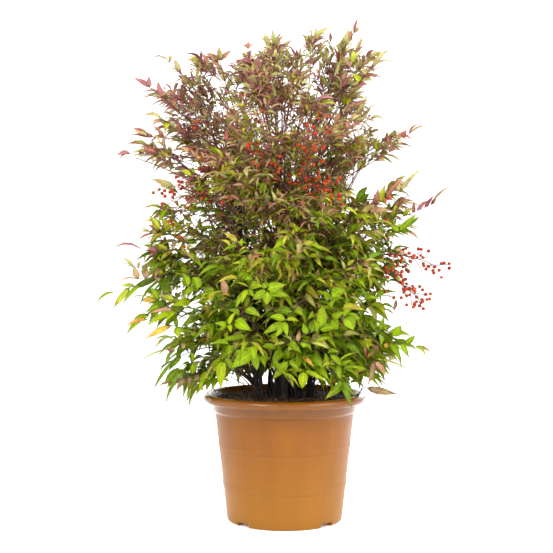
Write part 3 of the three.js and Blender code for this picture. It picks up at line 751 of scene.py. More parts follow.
def makeSprays():
    # the solids' own compound leaves: a ring of them to a tier, whose reach and height at the tip go from
    # the tier's left numbers to its right ones with the cosine of the azimuth
    sprays = []
    for tierIndex, tier in enumerate(tiers):
        for index in range(tier["count"]):
            key = tierIndex * 10 + index
            isEven = tier["count"] % 2 == 0
            atSide = isEven and index % (tier["count"] // 2) == 0
            azimuth = 180 + index * 360 / tier["count"] + (0 if atSide else tier["turn"])
            sideways = np.cos(np.radians(azimuth))
            reach = (tier["left"] + tier["right"]) / 2 + (tier["right"] - tier["left"]) / 2 * sideways
            shy = 0 if atSide else growth["shyness"] * chance(key, 2, 2)
            wave = 0 if atSide or not isEven else growth["wave"] * (1 if index % 2 else -1)
            tip = polar(reach * (1 - shy), azimuth, tier["to"] + tier["tilt"] * sideways + wave)
            carrier = caneCurve[caneToward(azimuth, tierNames[tierIndex] == "top")]
            base = tier["base"] + growth["stepUp"] * (index % 3)
            foot = atHeight(carrier, base) if tier["base"] else carrier[2]
            curve = bowTo(foot, tip, tier["bow"] * (0.85 - 0.35 * sideways))
            sprays.append(newSpray(tierIndex, key, azimuth, curve, "main"))
    return sprays


companions = {
    "turns": (15, -17), "turnUnrest": 7, "reaches": (0.86, 0.68), "shyness": 0.1, "rises": (34, -30),
    "below": 34, "bow": 0.9, "scale": 0.84, "scaleStep": 0.1,
}


def makeCompanions(sprays):
    # beside each of those, two lesser leaves of the same cane, turned aside, shorter and higher or lower
    more, c = [], companions
    for spray in sprays:
        for i in range(2):
            key = spray["key"] + 100 * (i + 1)
            foot, _, tip = spray["curve"]
            azimuth = spray["azimuth"] + c["turns"][i] + c["turnUnrest"] * swing(key, 3, 41)
            reach = np.hypot(tip[0], tip[1]) * c["reaches"][i] * (1 - c["shyness"] * chance(key, 4, 41))
            end = polar(reach, azimuth, tip[2] + c["rises"][i] * (0.7 + 0.6 * chance(key, 5, 41)))
            carrier = caneCurve[caneToward(azimuth, tierNames[spray["tier"]] == "top")]
            start = atHeight(carrier, min(foot[2] - 4 + c["below"] * (i - 0.6), carrier[2, 2] - 2))
            curve = bowTo(start, end, c["bow"] * tiers[spray["tier"]]["bow"], 0.4)
            scale = c["scale"] - c["scaleStep"] * i
            more.append(newSpray(spray["tier"], key, azimuth, curve, "companion", 1 + i, scale))
    return more


inner = {
    "count": 66, "height": (330, 760), "heightUnrest": 24, "turnUnrest": 20, "reach": (70, 200),
    "foot": 110, "footStep": 60, "lowestFoot": 270, "bow": 36, "scale": 0.8,
}


def makeInner():
    # short leaves that close the middle: each turned on by the golden angle and ending a little higher
    more = []
    for index in range(inner["count"]):
        share = (index + 0.5) / inner["count"]
        height = between(inner["height"], share) + inner["heightUnrest"] * swing(index, 1, 43)
        azimuth = index * goldenAngle + inner["turnUnrest"] * swing(index, 2, 43)
        reach = between(inner["reach"], chance(index, 3, 43))
        carrier = caneCurve[caneToward(azimuth, index % 3 == 0)]
        below = inner["foot"] + inner["footStep"] * share
        start = atHeight(carrier, np.clip(height - below, inner["lowestFoot"], carrier[2, 2] - 6))
        curve = bowTo(start, polar(reach, azimuth, height), inner["bow"])
        more.append(newSpray(1 + int(3.99 * share), 400 + index, azimuth, curve, "inner", 0, inner["scale"]))
    return more


armFacts = {"nearReach": 150, "highFrom": 690, "foot": 0.74, "lowestFoot": 300, "bow": 0.8}


def makeArms():
    # one leaf to each row of the table, from a point on the nearest cane at three quarters of its height
    more, a = [], armFacts
    for index, (azimuth, reach, height, name) in enumerate(arms):
        carrier = caneCurve[caneToward(azimuth, reach < a["nearReach"] or height > a["highFrom"])]
        start = atHeight(carrier, np.clip(a["foot"] * height, a["lowestFoot"], carrier[2, 2] - 4))
        tier = tierNames.index(name)
        curve = bowTo(start, polar(reach, azimuth, height), a["bow"] * tiers[tier]["bow"])
        more.append(newSpray(tier, 300 + index, azimuth, curve, "arm", 3, growth["armScale"]))
    return more


def bodyShare(points):
    # how far out a point is, 1 on an ellipse whose middle and half width are the crown's reach at its height
    left, right = (np.interp(points[..., 2], crownReach[:, 0], crownReach[:, i]) for i in (1, 2))
    half = (left + right) / 2
    return np.hypot((points[..., 0] - (right - left) / 2) / half, points[..., 1] / (crownDepth * half))


glades = [  # where leaflets are few: x, z, half width, half height, share left out, how far back
    (-46, 262, 50, 40, 1.0, 10), (24, 246, 40, 22, 1.0, 10), (-62, 402, 34, 46, 0.8, 10),
    (-30, 330, 42, 44, 0.6, 10), (30, 716, 46, 26, 0.65, 60), (70, 640, 40, 40, 0.3, 10),
    (-120, 706, 60, 26, 0.4, 10), (-10, 330, 140, 104, 0.55, -90), (136, 627, 30, 18, 0.9, 400),
    (-208, 616, 32, 22, 0.85, 400), (216, 508, 18, 16, 0.9, 400), (-102, 852, 25, 27, 0.9, 400),
    (-154, 868, 18, 14, 0.85, 400), (142, 874, 15, 12, 0.8, 400), (150, 722, 12, 10, 0.8, 400),
    (-232, 352, 24, 16, 0.8, 400), (-208, 807, 17, 16, 0.8, 400), (180, 800, 12, 16, 0.8, 400),
    (217, 672, 18, 12, 0.8, 400), (-256, 393, 20, 14, 0.8, 400), (-190, 410, 34, 40, 0.35, 400),
    (-93, 516, 80, 34, 0.75, -20), (-27, 424, 28, 28, 0.6, -40),
]


def inGlade(points, luck):
    # true for the unlucky share of what stands within a glade's oval, not farther back than the glade goes
    isOut = np.zeros(points.shape[:-1], bool)
    for x, z, wide, high, share, back in glades:
        oval = ((points[..., 0] - x) / wide) ** 2 + ((points[..., 2] - z) / high) ** 2
        isOut |= (oval < 1) & (points[..., 1] < back) & (luck < share)
    return isOut


def stack(sprays, key):
    # the same fact of every leaf in one array
    return np.array([spray[key] for spray in sprays])


def look(sprays, key):
    # each leaf's number by its tier
    return np.array(tierLooks[key])[stack(sprays, "tier")]


def clearOfCanes(points, room):
    # true where a point is at least that far from every cane's middle line at its own height
    isClear = np.ones(points.shape[:-1], bool)
    for curve in caneCurve:
        line = onCurve(curve, np.linspace(0, 1, 12))
        x, y = (np.interp(points[..., 2], line[:, 2], line[:, i]) for i in (0, 1))
        near = np.hypot(points[..., 0] - x, points[..., 1] - y) < room
        isClear &= ~(near & (points[..., 2] < line[-1, 2] + room))
    return isClear


lowCorner, highCorner = (np.array(corner) / metres for corner in cadBox)


def inSpace(points):
    # true within the solids' box, above the pot's rim or beside it, and clear of the canes
    g = growth
    isIn = np.all((points > lowCorner - g["outOfBox"]) & (points < highCorner + g["outOfBox"]), -1)
    isBeside = np.hypot(points[..., 0], points[..., 1]) > g["potReach"]
    lowest = np.where(isBeside, g["besidePot"], g["overPot"])
    return isIn & (points[..., 2] > lowest) & clearOfCanes(points, g["caneRoom"])


def rachisEnd(sprays):
    # the share of a leaf's path at which its last leaflet starts
    curve = stack(sprays, "curve")
    steps = np.diff(onCurve(curve[:, None], np.linspace(0, 1, 12)[None]), axis=1)
    return 1 - growth["endGap"] * look(sprays, "leaflet") / np.linalg.norm(steps, axis=2).sum(1)


def fanned(points):
    # the way the whole crown fans: out from a point inside it, steep above that point and drooping below
    away = points - np.array(growth["fanFrom"])
    away[..., 2] *= np.where(away[..., 2] > 0, 1.0, growth["fanBelow"])
    return unit(away)


def growPinnae(sprays):
    # pinnae leave the rachis in pairs, each pair rolled about it by its own angle
    g = growth
    every = np.arange(len(sprays))
    wide = lambda values: values[:, None, None]
    curve, key = stack(sprays, "curve"), wide(stack(sprays, "key"))
    node, hand = np.arange(6)[:, None], np.array([1.0, -1.0])
    number = node * 2 + (hand + 1) / 2
    bare = wide(look(sprays, "bare") * np.where(stack(sprays, "kind") == "inner", g["innerBare"], 1))
    share = (bare + (1 - bare) * np.array(g["pinnaNodes"])[:, None] * np.ones(2)) * wide(rachisEnd(sprays))
    point, along = onCurve(wide(curve), share), headingOn(wide(curve), share)
    side = unit(np.cross(along, up))
    lift = np.cross(side, along)
    lean = np.where(node % 2, -1, 1) * hand * (g["roll"] - g["rollStep"] * node)
    lean = (lean + g["rollUnrest"] * swing(key, number, 3)) * wide(look(sprays, "roll"))
    angle = wide(look(sprays, "pinnaAngle")) + g["angleUnrest"] * swing(key, number, 5)
    roll, angle = np.radians(lean), np.radians(angle)
    out = side * (hand * np.cos(roll))[..., None] + lift * np.sin(roll)[..., None]
    heading = along * np.cos(angle)[..., None] + out * np.sin(angle)[..., None]
    heading[..., 2] *= wide(look(sprays, "level"))
    heading = unit(unit(heading) + g["fan"][0] * fanned(point))
    length = np.array(g["pinnaLengths"])[:, None] * (1 + g["lengthUnrest"] * swing(key, number, 4))
    length = length * wide(stack(sprays, "scale") * look(sprays, "pinna"))
    reach, rise = heading * length[..., None], up * length[..., None]
    end = point + reach - g["sag"] * rise
    curves = np.stack([point, point + 0.5 * reach + g["lift"] * rise, end], -2)
    thin = g["thin"] * np.clip((bodyShare(end) - g["thinFrom"]) / (g["thinTo"] - g["thinFrom"]), 0, 1)
    thin = thin * wide(np.array([g["thinByKind"][spray["kind"]] for spray in sprays]))
    kept = (node >= wide(stack(sprays, "first"))) & inSpace(end) & (chance(key, number, 6) >= thin)
    tips = onCurve(curve[:, None], rachisEnd(sprays)[:, None] * np.array(g["lastPairs"]))
    return {
        "curve": np.concatenate([curves[kept], tips]),
        "length": np.concatenate([length[kept], np.linalg.norm(tips[:, 2] - tips[:, 0], axis=1)]),
        "spray": np.concatenate([np.broadcast_to(wide(every), kept.shape)[kept], every]),
        "number": np.concatenate([np.broadcast_to(number, kept.shape)[kept], 12 + 0 * every]),
        "at": np.concatenate([share[kept], rachisEnd(sprays)]),
    }


def growLeaflets(sprays, pinnae):
    # on each pinna one leaflet at the tip and pairs behind it; the lowest pairs are pinnules of three.
    # The axes are the pinnae, the 13 places on each, and the middle and two side leaflets of a pinnule.
    g = growth
    slot, fan = np.arange(13), np.array([0, 1, -1.0])
    step = (slot + 1) // 2
    hand = np.where(slot == 0, 0, np.where(slot % 2, 1, -1.0))
    owner = pinnae["spray"]
    mine = lambda key: look(sprays, key)[owner][:, None]
    share = 1 - step * mine("gap") / pinnae["length"][:, None]
    curve = pinnae["curve"][:, None]
    keys = stack(sprays, "key")[owner][:, None] + 0.01 * pinnae["number"][:, None]
    drawn = lambda draw, number: draw(keys[..., None], slot[:, None], number + fan)
    outward = polar(1, stack(sprays, "azimuth")[owner], 0)[:, None]
    point, along = onCurve(curve, share), headingOn(curve, share)
    wobble = np.stack([swing(keys, slot, 50 + i) for i in range(3)], -1)
    blade = unit(up * g["bladeUp"] + mine("facing")[..., None] * outward + mine("unrest")[..., None] * wobble)
    across = unit(np.cross(blade, along))
    splay = mine("leafletAngle") + g["splayStep"] * step + g["splayUnrest"] * swing(keys, slot, 54)
    splay = np.radians(splay)[..., None]
    heading = unit(along * np.cos(splay * np.abs(hand)[:, None]) + across * (hand[:, None] * np.sin(splay)))
    isPinnule = (step >= 3) & (share > g["leastShare"])
    turn = np.radians(g["pinnuleAngle"]) * fan[:, None]
    second = unit(np.cross(blade, heading))
    spread = heading[:, :, None] * np.cos(turn) + second[:, :, None] * np.sin(turn)
    stem = np.where(isPinnule, g["pinnuleLength"] * mine("leaflet"), 0.0)
    root = point[:, :, None] + heading[:, :, None] * (stem[..., None] * np.array(g["stems"]))[..., None]
    hang = (mine("hang")[..., None] + g["hangUnrest"] * drawn(swing, 60))[..., None]
    spread = unit(spread - up * hang + g["fan"][1] * fanned(root))
    size = mine("leaflet")[..., None] * (1 + g["sizeUnrest"] * drawn(swing, 64))
    size = size * np.array(g["sizes"])[np.minimum(step, 3)][:, None]
    size = size * np.where(fan == 0, 1, g["sideSize"])
    middle, tip = (root + spread * size[..., None] * s for s in (0.5, 1))
    kind = stack(sprays, "kind")[owner]
    slack = np.where(kind == "main", g["slack"], g["otherSlack"] - g["slackUnrest"] * chance(owner, 1, 70))
    slack = np.where(kind == "arm", g["armSlack"], slack)[:, None, None]
    kept = (share > g["leastShare"])[..., None] & ((fan == 0) | isPinnule[..., None])
    for end in (middle, tip):
        kept = kept & inSpace(end) & (bodyShare(end) < slack)
    kept = kept & ~inGlade(middle, drawn(chance, 72))
    kept = kept & (kept.sum((1, 2)) > 2)[:, None, None]
    shaped = lambda a: np.broadcast_to(a, kept.shape + a.shape[3:])[kept]
    place = shaped(np.arange(len(owner))[:, None, None])
    leaves = {
        "root": root[kept], "along": spread[kept], "blade": shaped(blade[:, :, None]),
        "length": size[kept], "width": size[kept] * mine("width")[place, 0], "owner": place,
        "luck": drawn(swing, 76)[kept], "isLaid": np.zeros(len(place), bool),
    }
    stems = isPinnule & kept.any(-1)
    reach = (heading * stem[..., None])[stems]
    return leaves, np.stack([point[stems], point[stems] + reach], 1), (share[..., None] * kept).max((1, 2))


leafForm = {
    "stations": {"leaf_green": (0.1, 0.26, 0.45, 0.66, 0.86), "leaf_olive": (0.12, 0.34, 0.6, 0.84)},
    "fold": 0.45, "arch": 0.08, "sag": 0.23, "twist": 0.8, "thickness": 0.5, "widest": 0.2635,
}


def leafShapes(leaves, stations):
    # Along a leaflet (u) its half width is u^0.7 (1-u)^1.4 over its greatest value, drawn out to the tip.
    # Across it (v) the halves rise from the midrib, and the whole arches over and twists a little.
    f = leafForm
    key, root, along = leaves["root"][:, 0], leaves["root"], leaves["along"]
    luck = lambda n: chance(key, n, 71)[:, None, None]
    u, v = np.array(stations), np.array([-1, 0, 1, 0])
    half = u ** 0.7 * (1 - u) ** 1.4 / f["widest"]
    side = unit(np.cross(leaves["blade"], along))
    face = np.cross(along, side)
    long, wide = leaves["length"][:, None, None], 0.5 * leaves["width"][:, None, None] * half[:, None]
    isLaid = leaves["isLaid"][:, None, None]
    sag = np.where(isLaid, 0, f["sag"] * (0.5 + luck(1)))
    arch = f["arch"] * (0.4 + 1.2 * luck(2)) * (1 + isLaid)
    turn = f["twist"] * (2 * luck(3) - 1) * u[:, None]
    height = wide * f["fold"] * (0.4 + 1.1 * luck(5)) * np.abs(v)
    height = np.where(np.arange(4) == 3, -f["thickness"], height) + long * arch * np.sin(np.pi * u)[:, None]
    height = height + wide * v * np.sin(turn)
    x = wide * v * np.cos(turn)
    vector = lambda a, b: a[..., None] * b[:, None, None]
    across = vector(x, side) + vector(height, face) + vector(long * u[:, None] + 0 * x, along)
    drop = long * sag * (u ** 2)[:, None]
    points = root[:, None, None] + across - drop[..., None] * up
    tip = root + along * leaves["length"][:, None] - up * (leaves["length"] * sag[:, 0, 0])[:, None]
    flat = np.stack(np.broadcast_arrays(u[:, None], 0.5 + 0.5 * v), -1).reshape(-1, 2)
    flat = np.concatenate([flat, [[0, 0.5], [1, 0.5]]])
    return closedRings(points, np.stack([root - along, tip], 1), flat, chance(key, 6, 71))


def leafCreases(count, rows):
    # margins and midrib are creased, so that each half of a leaflet shades by itself
    return np.tile(np.concatenate([np.tile([True, True, True, False], rows), [False, False]]), count)


tintRows = {  # slot, colour, second tone, rim, where it grows (middle height, spread, pull right), how much
    "lime": ("leaf_green", (131, 151, 6), (117, 139, 8), (122, 120, 20), (290, 70, 0.0), 0.2),
    "bright": ("leaf_green", (114, 138, 4), (99, 123, 6), (88, 98, 12), (320, 110, 0.2), 1.0),
    "mid": ("leaf_green", (115, 141, 6), (99, 122, 8), (86, 82, 18), (425, 165, 0.1), 1.0),
    # deep: the mid green made darker, painted shade on the leaflets it is dealt to
    "deep": ("leaf_green", (94, 121, 12), (80, 104, 14), (60, 67, 16), (430, 150, 0.1), 0.45),
    "faded": ("leaf_green", (151, 153, 72), (127, 117, 57), (119, 85, 59), (350, 180, 0.2), 0.34),
    "olive": ("leaf_olive", (146, 162, 12), (136, 134, 30), (120, 67, 42), (570, 185, 0.3), 1.1),
    "sage": ("leaf_olive", (156, 162, 89), (154, 139, 96), (133, 69, 64), (800, 170, 0.4), 1.5),
    "gold": ("leaf_olive", (184, 158, 42), (168, 122, 48), (150, 80, 42), (480, 190, -0.2), 0.05),
    "bronze": ("leaf_bronze", (160, 120, 92), (149, 135, 80), (120, 60, 56), (700, 170, 0.0), 1.0),
    "wine": ("leaf_bronze", (147, 76, 69), (146, 108, 82), (108, 44, 46), (700, 150, 0.2), 0.36),
    "dusk": ("leaf_bronze", (129, 69, 79), (164, 113, 104), (92, 42, 54), (810, 130, -1.0), 0.55),
    "dry": ("leaf_bronze", (112, 94, 62), (98, 78, 50), (84, 60, 44), (300, 10, 0.0), 0.0),
}
tintColumns = ("slot", "colour", "other", "rim", "at", "share")
tints = {name: dict(zip(tintColumns, row)) for name, row in tintRows.items()}
slotTiers = {"leaf_green": tierNames[:2], "leaf_olive": tierNames[2:4], "leaf_bronze": tierNames[4:]}


def dealTints(points, luck):
    # a spray's tint: its luck, from 0 to 1, falls in one of the tints' shares at its height and side
    rows = []
    for tint in tints.values():
        middle, spread, pull = tint["at"]
        away = ((points[:, 2] - middle) / spread) ** 2
        rows.append(tint["share"] * np.exp(-away + pull * points[:, 0] / 300))
    edges = np.cumsum(rows, axis=0)
    return np.sum(luck * edges[-1] > edges, axis=0)


oddTwigs = [  # foot, bend and tip, radius at the foot and at the tip: a dead twig and thin stalks by the rim
    ((-52, -46, 528), (-140, -60, 622), (-268, -70, 661), 1.7, 0.9),
    ((-178, -62, 628), (-166, -60, 616), (-163, -56, 600), 0.6, 0.5),
    ((-112, -58, 222), (-150, -66, 268), (-126, -72, 330), 0.9, 0.7),
    ((-118, -34, 222), (-96, -40, 262), (-104, -44, 318), 0.8, 0.6),
    ((128, -44, 222), (150, -58, 262), (146, -66, 306), 1.0, 0.5),
    ((-46, -60, 226), (-72, -82, 276), (-98, -98, 284), 1.3, 0.7),
    ((-40, -64, 228), (-64, -84, 270), (-90, -100, 288), 1.1, 0.6),
    ((-56, -70, 258), (-80, -90, 258), (-100, -100, 266), 0.6, 0.4),
]
oddLeaves = [  # foot, tip, width and tint: a young shoot by the rim
    ((146, -66, 304), (136, -74, 338), 9, "wine"), ((146, -66, 300), (168, -70, 322), 8, "wine"),
    ((148, -64, 286), (172, -76, 284), 8, "wine"), ((148, -64, 280), (128, -76, 270), 8, "wine"),
]
leaning = [  # bare stems that lean out between the leaves: height of the foot on an inner cane, bend, tip
    (606, (28, -30, 700), (100, -40, 772)), (618, (38, -20, 715), (112, -30, 802)),
    (596, (62, -40, 688), (142, -60, 750)), (622, (6, -24, 730), (62, -30, 822)),
    (580, (72, -50, 656), (152, -60, 714)), (600, (48, -44, 672), (124, -50, 730)),
    (590, (-86, -40, 664), (-168, -50, 716)), (570, (-96, -50, 626), (-190, -60, 658)),
    (614, (-66, -24, 712), (-128, -30, 792)), (600, (-78, -36, 690), (-146, -44, 754)),
    (540, (-92, -60, 580), (-180, -70, 606)),
]
# Shoots that stand clear at the edge, and fronds low at the front: the depth (y) of the stalk's first and
# last point, its three points, then its leaflets, each with the share of the stalk it starts at, its tip,
# its width, how far it faces forward, and its tint. Points are across and down in the camera's picture,
# in its pixels, and depths and widths are millimetres.
edgeShoots = [
    (-20, -60, ((186, 118), (166, 99), (149, 87)), (1, 150, 76, 9, 1, "dusk"), (1, 133, 78, 9, 0.8, "dusk"),
     (0.6, 158, 80, 9, 1, "dusk"), (0.55, 137, 89, 7, 0.1, "sage"), (0.5, 139, 93, 8, 0.1, "wine"),
     (0.42, 138, 98, 7, 0.1, "wine"), (0.35, 157, 106, 6, 0.3, "bronze"), (0.3, 165, 112, 8, 1, "wine"),
     (0.25, 170, 93, 8, 0.8, "bronze")),
    (-10, -50, ((200, 98), (184, 74), (168, 61)), (1, 152, 57, 8, 0.3, "bronze"),
     (1, 159, 60, 5, 0.2, "sage"), (0.95, 170, 54, 6, 0.6, "sage"), (0.6, 173, 58, 8, 0.7, "sage"),
     (0.55, 181, 68, 8, 0.6, "dusk"), (0.5, 163, 68, 7, 0.1, "sage"), (0.45, 168, 73, 6, 0.1, "bronze"),
     (0.3, 177, 75, 10, 1, "bronze"), (0.25, 188, 78, 8, 0.6, "wine")),
    (10, -30, ((216, 92), (202, 74), (197, 67)), (1, 188, 59, 9, 0.7, "sage"),
     (1, 201, 61, 6, 0.6, "bronze"), (0.9, 184, 63, 7, 0.2, "bronze"), (0.7, 208, 69, 5, 0.2, "dusk"),
     (0.5, 213, 71, 6, 0.4, "wine"), (0.4, 196, 78, 8, 0.6, "bronze")),
    (0, -40, ((228, 92), (223, 74), (220, 60)), (1, 219, 45, 10, 1, "sage"), (1, 205, 53, 8, 1, "bronze"),
     (1, 232, 49, 8, 1, "bronze"), (0.7, 208, 60, 7, 0.7, "bronze"), (0.3, 219, 67, 11, 1, "sage")),
    (10, -20, ((256, 84), (251, 64), (248, 49)), (1, 247, 42, 8, 1, "wine"), (1, 241, 47, 5, 0.4, "wine"),
     (1, 257, 44, 6, 0.5, "bronze"), (0.75, 243, 52, 8, 0.6, "bronze"), (0.6, 236, 52, 6, 0.3, "sage"),
     (0.5, 233, 63, 12, 1, "dusk")),
    (20, 0, ((278, 76), (275, 58), (274, 42)), (1, 271, 35, 5, 1, "wine"), (1, 275, 35, 5, 1, "wine"),
     (1, 265, 39, 6, 0.5, "bronze"), (1, 285, 39, 5, 0.2, "sage"), (0.75, 265, 44, 7, 0.8, "bronze"),
     (0.75, 287, 42, 6, 0.4, "bronze"), (0.7, 290, 44, 6, 0.3, "sage"), (0.5, 258, 47, 6, 0.3, "wine")),
    (20, -10, ((326, 80), (317, 58), (313, 40)), (1, 302, 35, 9, 0.8, "sage"), (1, 330, 26, 9, 0.8, "sage"),
     (0.9, 326, 36, 7, 0.6, "wine"), (0.7, 301, 46, 8, 0.6, "sage"), (0.6, 328, 44, 7, 0.5, "bronze")),
    (20, -20, ((330, 84), (338, 56), (354, 33)), (1, 359, 17, 5, 0.8, "wine"), (1, 356, 20, 4, 0.8, "wine"),
     (1, 360, 27, 8, 0.8, "sage"), (1, 380, 18, 5, 0.3, "sage"), (0.55, 350, 29, 12, 1, "sage"),
     (0.5, 347, 38, 10, 1, "dusk"), (0.4, 355, 41, 8, 0.5, "sage"), (0.45, 331, 44, 6, 0.5, "wine"),
     (0.85, 352, 28, 8, 0.8, "wine")),
    (10, -30, ((334, 104), (344, 80), (353, 64)), (1, 370, 57, 6, 0.3, "sage"),
     (1, 372, 49, 6, 0.4, "sage"), (1, 353, 49, 11, 1, "olive"), (0.7, 339, 81, 7, 0.8, "wine"),
     (0.9, 340, 57, 9, 0.8, "bronze"), (0.4, 356, 84, 8, 0.5, "wine")),
    (-10, -50, ((342, 104), (358, 84), (372, 68)), (1, 390, 49, 9, 0.7, "sage"),
     (1, 396, 64, 8, 0.4, "sage"), (0.8, 362, 67, 10, 1, "sage"), (0.7, 384, 77, 6, 0.3, "wine"),
     (0.6, 374, 81, 8, 0.5, "sage"), (0.5, 369, 86, 8, 0.6, "wine"), (0.6, 352, 73, 11, 1, "olive")),
    (-30, -60, ((340, 134), (358, 122), (372, 119)), (0.6, 360, 106, 11, 1, "sage"),
     (1, 386, 120, 7, 0.4, "sage"), (0.9, 376, 126, 5, 0.4, "bronze"), (0.9, 383, 117, 6, 0.6, "bronze"),
     (0.5, 371, 108, 8, 0.8, "bronze"), (0.5, 382, 100, 6, 0.2, "sage"), (0.4, 369, 93, 9, 0.8, "sage")),
    (0, -40, ((345, 166), (376, 151), (409, 134)), (1, 431, 125, 7, 0.4, "sage"),
     (1, 418, 124, 6, 0.5, "wine"), (0.9, 406, 130, 9, 0.8, "wine"), (0.8, 404, 131, 8, 0.6, "bronze"),
     (0.7, 386, 133, 6, 0.6, "wine"), (0.6, 391, 141, 10, 0.8, "sage"), (0.5, 380, 138, 9, 0.7, "olive"),
     (0.3, 368, 150, 10, 0.7, "olive"), (0.3, 382, 134, 6, 0.2, "sage"), (0.15, 366, 137, 9, 0.5, "olive")),
    (-10, -40, ((345, 178), (368, 165), (389, 152)), (1, 397, 145, 9, 0.8, "dusk"),
     (1, 410, 148, 6, 0.2, "sage"), (0.7, 387, 155, 8, 0.6, "dusk"), (0.65, 386, 161, 7, 0.6, "bronze"),
     (0.5, 379, 162, 7, 0.3, "deep"), (0.3, 368, 167, 7, 0.3, "wine"), (0.3, 367, 159, 9, 0.7, "olive")),
    (-30, -70, ((350, 216), (376, 205), (400, 192)), (1, 424, 166, 8, 0.8, "sage"),
     (1, 397, 180, 9, 1, "sage"), (1, 418, 184, 5, 0.3, "bronze"), (0.7, 405, 176, 8, 0.6, "wine"),
     (0.6, 385, 184, 11, 0.9, "olive"), (0.5, 378, 188, 10, 1, "wine"), (0.3, 364, 187, 11, 1, "bronze"),
     (0.2, 374, 203, 10, 0.9, "wine")),
    (10, -20, ((352, 233), (392, 222), (431, 205)), (1, 452, 185, 6, 0.4, "bronze"),
     (1, 437, 197, 6, 0.6, "wine"), (0.92, 434, 195, 7, 0.8, "dusk"), (0.82, 428, 200, 7, 0.7, "dusk"),
     (0.78, 414, 201, 7, 0.8, "wine"), (0.65, 413, 207, 8, 0.7, "olive"), (0.5, 410, 194, 9, 0.7, "wine"),
     (0.5, 398, 198, 10, 0.9, "olive"), (0.4, 386, 206, 10, 0.8, "olive"),
     (0.55, 409, 201, 5, 0.2, "sage")),
    (-30, -60, ((360, 246), (382, 240), (399, 231)), (1, 387, 223, 9, 0.8, "mid"),
     (1, 417, 213, 11, 0.9, "mid"), (1, 424, 227, 8, 0.3, "olive"), (0.5, 380, 224, 12, 0.9, "mid"),
     (0.6, 392, 234, 10, 0.5, "olive")),
    (-30, -60, ((352, 326), (374, 326), (392, 336)), (1, 402, 326, 15, 1, "mid"),
     (0.7, 393, 327, 10, 0.6, "deep"), (0.7, 384, 315, 9, 0.9, "mid"), (0.4, 377, 309, 13, 1, "deep"),
     (0.4, 371, 332, 14, 0.9, "bright"), (0.2, 362, 318, 14, 0.9, "mid")),
    (-40, -80, ((360, 347), (392, 339), (416, 346)), (1, 433, 355, 7, 0.6, "dry"),
     (1, 426, 357, 9, 0.5, "mid"), (0.8, 416, 335, 10, 0.8, "mid"), (0.7, 409, 358, 9, 0.7, "mid"),
     (0.5, 400, 361, 11, 0.8, "mid"), (0.45, 386, 349, 8, 0.5, "gold"), (0.2, 378, 353, 12, 0.8, "bronze")),
    (-40, -80, ((352, 346), (366, 350), (374, 361)), (1, 387, 378, 10, 0.8, "bronze"),
     (1, 366, 386, 10, 0.8, "dry"), (0.9, 414, 374, 6, 0.3, "olive"), (0.3, 363, 371, 11, 0.9, "deep"),
     (0.5, 384, 355, 6, 0.4, "deep")),
    (-60, -86, ((357, 396), (368, 381), (367, 388)), (1, 399, 395, 13, 1, "dry")),
    (-30, -50, ((362, 312), (370, 304), (373, 303)), (1, 387, 311, 11, 0.8, "mid"),
     (0.8, 372, 312, 9, 0.8, "mid")),
    (-30, -50, ((378, 296), (390, 294), (396, 300)), (1, 394, 311, 6, 0.8, "dry")),
    (20, -30, ((205, 260), (172, 276), (114, 292)), (1, 96, 306, 7, 0.4, "mid"),
     (0.86, 112, 309, 10, 0.9, "olive"), (0.82, 118, 287, 9, 0.6, "olive"), (0.76, 122, 306, 8, 0.8, "mid"),
     (0.6, 129, 291, 11, 0.8, "deep"), (0.5, 138, 310, 5, 0.6, "deep"), (0.46, 155, 303, 7, 0.8, "deep"),
     (0.42, 161, 303, 8, 0.8, "deep"), (0.3, 172, 292, 9, 0.9, "deep"), (0.24, 183, 289, 10, 0.9, "deep"),
     (0.4, 150, 297, 5, 0.8, "deep")),
    (0, -40, ((190, 268), (160, 278), (136, 279)), (1, 116, 285, 8, 0.3, "bronze"),
     (0.95, 134, 265, 11, 1, "bronze"), (0.8, 145, 266, 12, 1, "bronze"), (0.6, 158, 283, 9, 0.9, "sage"),
     (0.5, 157, 265, 8, 0.6, "olive")),
    (10, -30, ((165, 272), (145, 268), (133, 267)), (1, 122, 257, 6, 0.5, "sage"),
     (1, 120, 264, 5, 0.2, "sage"), (1, 122, 267, 5, 0.2, "sage"), (0.8, 140, 261, 6, 0.6, "sage"),
     (0.6, 147, 263, 10, 0.9, "sage")),
    (-20, -60, ((196, 248), (168, 252), (142, 250)), (1, 112, 249, 8, 0.3, "dusk"),
     (0.7, 145, 251, 10, 0.6, "dusk"), (0.65, 147, 259, 6, 0.4, "dusk"), (0.5, 152, 244, 8, 0.8, "olive"),
     (0.4, 160, 264, 8, 0.6, "olive")),
    (-10, -50, ((190, 232), (168, 230), (153, 234)), (1, 133, 228, 6, 0.2, "sage"),
     (1, 137, 231, 5, 0.2, "sage"), (1, 138, 241, 7, 0.3, "wine"), (0.8, 148, 215, 12, 0.8, "olive"),
     (0.8, 147, 224, 8, 0.8, "dusk"), (0.7, 151, 244, 8, 0.6, "olive"), (0.5, 160, 216, 12, 0.9, "olive")),
    (-40, -80, ((206, 296), (192, 298), (175, 311)), (1, 145, 327, 10, 0.7, "lime"),
     (1, 147, 314, 8, 0.6, "bronze"), (0.5, 171, 306, 13, 0.9, "lime"), (0.6, 188, 308, 9, 0.9, "lime"),
     (1, 166, 322, 8, 0.9, "lime")),
    (-40, -80, ((204, 333), (178, 327), (148, 320)), (1, 124, 330, 9, 0.5, "gold"),
     (0.6, 144, 340, 10, 0.8, "gold"), (0.5, 181, 339, 13, 0.9, "lime"), (0.35, 196, 304, 6, 0.8, "deep"),
     (0.5, 176, 316, 8, 0.6, "deep")),
    (-30, -70, ((200, 338), (184, 342), (167, 349)), (1, 131, 369, 8, 0.3, "olive"),
     (1, 173, 352, 5, 0.6, "dusk"), (0.5, 183, 350, 8, 0.7, "bronze")),
    (-30, -70, ((206, 348), (186, 351), (172, 362)), (1, 152, 393, 7, 0.5, "deep"),
